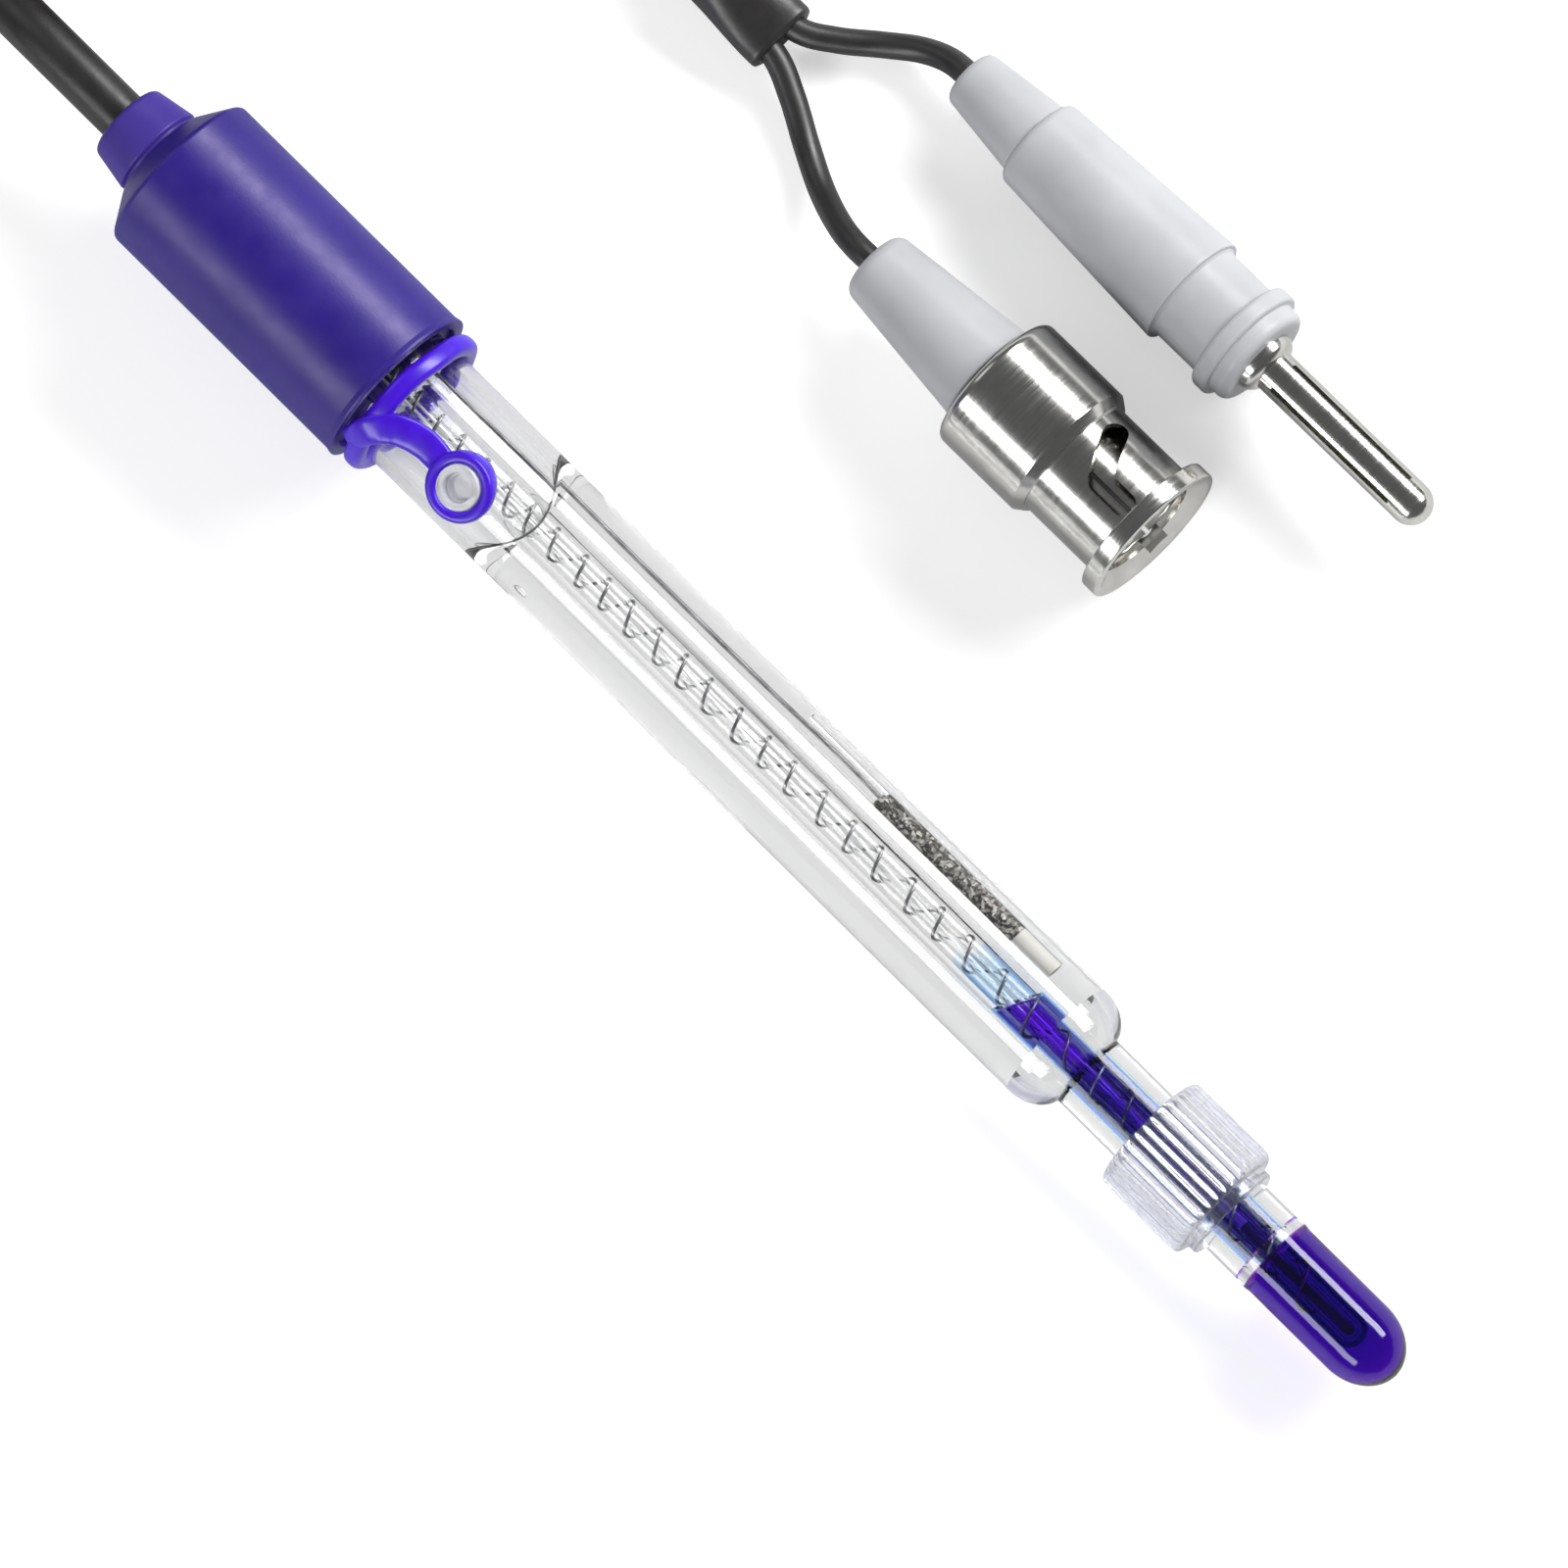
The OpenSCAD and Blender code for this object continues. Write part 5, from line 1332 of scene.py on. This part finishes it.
def signalNut():
    # turned nut, then the two bayonet slots taken out: an entry under the flange, a sloping
    # arm and a round rest at its end
    n = signalSizes
    wall = n["nut"] + n["nutWall"]
    loop = [(n["nutHole"], n["nut"]), (n["gripRadius"], n["nut"]), (n["gripRadius"], n["grip"]),
            (n["sleeveRadius"] + 0.3, n["sleeve"]), (n["sleeveRadius"], n["sleeve"]),
            (n["sleeveRadius"], n["flange"]), (n["flangeRadius"], n["flange"]),
            (n["flangeRadius"], n["face"]), (n["flangeRadius"] - 0.7, n["face"]),
            (n["bore"], n["face"] - 1), (n["bore"], n["cavityEnd"]), (n["cavity"], n["cavityEnd"]),
            (n["cavity"], wall), (n["nutHole"], wall)]
    radii = [0.1, 0.75, 0.15, 0.1, 0.1, 0.15, 0.15, 0.25, 0.1, 0.1, 0.1, 0.1, 0.1, 0.05]
    piece = turnedPiece("signalNut", roundCorners(loop, radii, 6), nickelPlate, "coupling_nut",
                        toPlug("signal"), segments=192)
    cutters = []
    half, outside = n["slot"] / 2, 9.0
    armStart = n["flange"] - 4
    dx, dy = -math.sin(n["armAngle"]) * n["arm"], math.cos(n["armAngle"]) * n["arm"]
    for turn in (0, math.pi):
        cutters.append(slotCutter([(armStart, 0), (n["face"] + 1, 0)], half, n["cavity"], turn))
        cutters.append(slotCutter([(armStart, 0), (n["flange"] - half - 0.02, 0)], half, outside, turn))
        cutters.append(slotCutter([(armStart, 0), (armStart + dx, dy)], half, outside, turn))
    cutAway(piece, cutters, 35)
    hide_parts("signal_nut")


signalNut()


def signalInside():
    # the turned body with its three saw cuts, the insulator, the pin and the two washers
    place = toPlug("signal")
    b, u, p = bodySizes, insulatorSizes, pinSizes
    loop = [(b["lead"], b["from"]), (b["tail"], b["from"]), (b["tail"], b["neckFrom"]),
            (b["neck"], b["neckFrom"]), (b["neck"], b["collarFrom"]), (b["collar"], b["collarFrom"]),
            (b["collar"], b["socketFrom"]), (b["socket"], b["socketFrom"]),
            (b["socket"], b["socketEnd"] - 0.4), (b["socket"] - 0.25, b["socketEnd"]),
            (b["socketInner"], b["socketEnd"]), (b["socketInner"], b["socketFrom"]),
            (b["lead"], b["socketFrom"])]
    body = turnedPiece("signalBody", roundCorners(loop, [0.05] * 13, 3), nickelPlate, "electrode", place)
    low, high = (b["cutFrom"], -b["cut"], -5), (36, b["cut"], 5)
    cutAway(body, [blockSolid(low, high, math.radians(t), place) for t in (0, 60, 120)], 35)
    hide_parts("signal_body")
    loop = [(u["hole"], b["socketFrom"]), (u["radius"], b["socketFrom"]), (u["radius"], u["end"]),
            (u["cavity"], u["end"]), (u["cavity"], u["cavityFrom"]), (u["hole"], u["cavityFrom"])]
    insulator = turnedPiece("signalInsulator", roundCorners(loop, [0.03, 0.1, 0.2, 0.2, 0.2, 0.05], 4),
                            insulatorPlastic, "electrode", place, segments=96)
    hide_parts("signal_insulator")
    loop = [(0, p["from"]), (p["radius"], p["from"]), (p["radius"], p["taperFrom"]), (0.5, p["end"] - 0.4),
            (0.25, p["end"]), (0, p["end"])]
    pin = turnedPiece("signalPin", roundCorners(loop, [0, 0.05, 0.1, 0.2, 0.1, 0], 4), goldPlate, "electrode",
                      place, segments=48, sharp=60)
    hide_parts("signal_pin")
    for name, node, material, slot in (
        ("signalSpring", "signal_spring", springSteel, "spring_steel"),
        ("signalGasket", "signal_gasket", gasketRubber, "gasket_rubber"),
    ):
        loop = roundCorners(ringProfile(*washerSizes[name]), [0.12] * 4, 4)
        washer = turnedPiece(name, loop, material, "electrode", place, segments=96)
        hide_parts(node)


signalInside()
print("signal plug made")

# temperature plug

temperatureSizes = {"lead": 1.22, "bootEnd": 8.5, "bootSmall": 2.75, "bootLarge": 3.75, "handleSmall": 4.45,
                    "handleLarge": 5.45, "handleEnd": 28.0, "neck": 4.8, "neckEnd": 33.4, "pinHole": 1.52,
                    "pinFrom": 20.8, "collar": 5.65, "step": 35.1, "nose": 4.95, "noseEnd": 36.8,
                    "root": 1.5, "pin": 2.0, "pinEnd": 57.0, "knob": 1.4, "knobMiddle": 1.6,
                    "cutFrom": 39.4, "cutTo": 53.8, "cut": 0.25}


def temperaturePlug():
    # turned boot, handle and collar, and a turned pin with a round shoulder, sawn crosswise
    place = toPlug("temperature")
    q = temperatureSizes
    boot = [(q["lead"], 0), (q["bootSmall"], 0), (q["bootLarge"], q["bootEnd"]), (q["lead"], q["bootEnd"])]
    handle = [(0, q["bootEnd"]), (q["handleSmall"], q["bootEnd"]), (q["handleLarge"], q["handleEnd"]),
              (q["handleLarge"] - 0.4, q["handleEnd"]), (q["neck"], q["handleEnd"] + 0.25),
              (q["neck"], q["neckEnd"]), (q["pinHole"], q["neckEnd"]), (q["pinHole"], q["pinFrom"]),
              (0, q["pinFrom"])]
    collar = [(q["pinHole"], q["neckEnd"]), (q["collar"], q["neckEnd"]), (q["collar"], q["step"]),
              (q["nose"], q["step"] + 0.05), (q["nose"], q["noseEnd"]), (q["pinHole"], q["noseEnd"])]
    for name, node, loop, radii in (
        ("temperatureBoot", "temperature_boot", boot, [0.15, 1.0, 0.15, 0.05]),
        ("temperatureHandle", "temperature_handle", handle, [0, 0.7, 0.4, 0.1, 0.1, 0.15, 0.1, 0.1, 0]),
        ("temperatureCollar", "temperature_collar", collar, [0.05, 0.5, 0.35, 0.12, 0.95, 0.05]),
    ):
        piece = turnedPiece(name, roundCorners(loop, radii, 7), plugPlastic, "electrode", place)
        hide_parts(node)
    tip = domeProfile(q["pin"], q["pin"], q["pinEnd"], 12)
    shoulder = [(q["knobMiddle"] + q["knob"] * math.cos(t), q["noseEnd"] + q["knob"] * math.sin(t))
                for t in np.linspace(0, math.radians(72), 8)]
    loop = [(0, q["pinFrom"]), (q["root"], q["pinFrom"]), (q["root"], q["noseEnd"])] + shoulder
    loop += [(q["pin"], q["noseEnd"] + 1.45)] + [tuple(p) for p in tip]
    loop[-1] = (0.0, q["pinEnd"])
    pin = turnedPiece("temperaturePin", loop, nickelPlate, "electrode", place, segments=96)
    low, high = (q["cutFrom"], -q["cut"], -3), (q["cutTo"], q["cut"], 3)
    cutAway(pin, [blockSolid(low, high, math.radians(t), place) for t in (45, 135)], 35)
    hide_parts("temperature_pin")


temperaturePlug()
print("temperature plug made")

# the potting keeps the frame's own shape

potting = nodes["potting"].data
potting.materials.clear()
potting.materials.append(pottingResin)

# where the cable leaves the bush, on the floor

cableExit = toFloor([(-34.1, 0, 0)])[0]

# floor and light

stageLook = {"floorGrey": (0.79, 0.81), "worldColour": (0.96, 0.97, 1.0), "worldLevel": 0.12,
             "floorGlow": {"Is Camera Ray": 0.55, "Is Transmission Ray": 0.03},
             "lampAngle": 58, "lampDistance": 0.7, "lampLength": 0.7, "lampWidth": 0.21,
             "lampPower": {1: 6.6, -1: 3.3}, "endAngle": 62, "endSize": 0.35, "endPower": 0.3}


def floorPiece():
    # a flat square; its glow is the sum of each kind of ray times its level
    material, tree, shader = startMaterial("paleFloor")
    dark, light = stageLook["floorGrey"]
    stops = [(0.3, (dark, dark, dark)), (0.7, (light, light, light))]
    tint = rampOf(tree, noiseAt(tree, objectSpace(tree), 6, 2), stops)
    tree.links.new(tint, shader.inputs["Base Color"])
    shader.inputs["Roughness"].default_value = 0.9
    shader.inputs["Specular IOR Level"].default_value = 0.1
    glow = tree.nodes.new("ShaderNodeEmission")
    glow.inputs["Color"].default_value = (1, 1, 1, 1)
    rays = tree.nodes.new("ShaderNodeLightPath")
    level = None
    for kind, amount in stageLook["floorGlow"].items():
        part = tree.nodes.new("ShaderNodeMath")
        part.operation = "MULTIPLY_ADD"
        part.inputs[1].default_value = amount
        part.inputs[2].default_value = 0
        tree.links.new(rays.outputs[kind], part.inputs[0])
        if level:
            tree.links.new(level, part.inputs[2])
        level = part.outputs["Value"]
    tree.links.new(level, glow.inputs["Strength"])
    add = tree.nodes.new("ShaderNodeAddShader")
    tree.links.new(shader.outputs["BSDF"], add.inputs[0])
    tree.links.new(glow.outputs["Emission"], add.inputs[1])
    tree.links.new(add.outputs["Shader"], tree.nodes["Material Output"].inputs["Surface"])
    size, low = 3.0, -0.00005
    verts = [(-size, -size, low), (size, -size, low), (size, size, low), (-size, size, low)]
    piece = makeObject("floor", verts, [(0, 1, 2, 3)], material)


def worldLight():
    world = bpy.data.worlds.new("studio")
    bpy.context.scene.world = world
    world.use_nodes = True
    back = world.node_tree.nodes["Background"]
    back.inputs["Color"].default_value = (*stageLook["worldColour"], 1)
    back.inputs["Strength"].default_value = stageLook["worldLevel"]


def softBox(away, sideways, ahead, size, power):
    # an area lamp at the lamps' distance, its x along ahead and its y along sideways
    data = bpy.data.lights.new("softBox", "AREA")
    data.shape = "RECTANGLE"
    data.size, data.size_y = size
    data.energy = power
    lamp = bpy.data.objects.new("softBox", data)
    spot = np.array(view["aim"]) + away * stageLook["lampDistance"]
    axes = [[ahead[k], sideways[k], away[k], spot[k]] for k in range(3)]
    lamp.matrix_world = Matrix(axes + [[0, 0, 0, 1]])
    bpy.context.scene.collection.objects.link(lamp)


def lamps():
    # two long soft boxes beside the view, one each side of the electrode, and a square one
    # beyond the cap
    for side in (-1, 1):
        angle = math.radians(stageLook["lampAngle"]) * side
        away = towards * math.cos(angle) + across * math.sin(angle)
        softBox(away, np.cross(away, along), along, (stageLook["lampLength"], stageLook["lampWidth"]),
                stageLook["lampPower"][side])
    angle = math.radians(stageLook["endAngle"])
    away = towards * math.cos(angle) - along * math.sin(angle)
    size = stageLook["endSize"]
    softBox(away, across, np.cross(across, away), (size, size), stageLook["endPower"])


floorPiece()
worldLight()
lamps()

scene = bpy.context.scene
scene.view_settings.view_transform = "Standard"
scene.cycles.max_bounces = 28
scene.cycles.transmission_bounces = 28
scene.cycles.transparent_max_bounces = 28
scene.cycles.glossy_bounces = 8
scene.cycles.diffuse_bounces = 3
scene.cycles.caustics_reflective = False
scene.cycles.caustics_refractive = False
print("stage set")
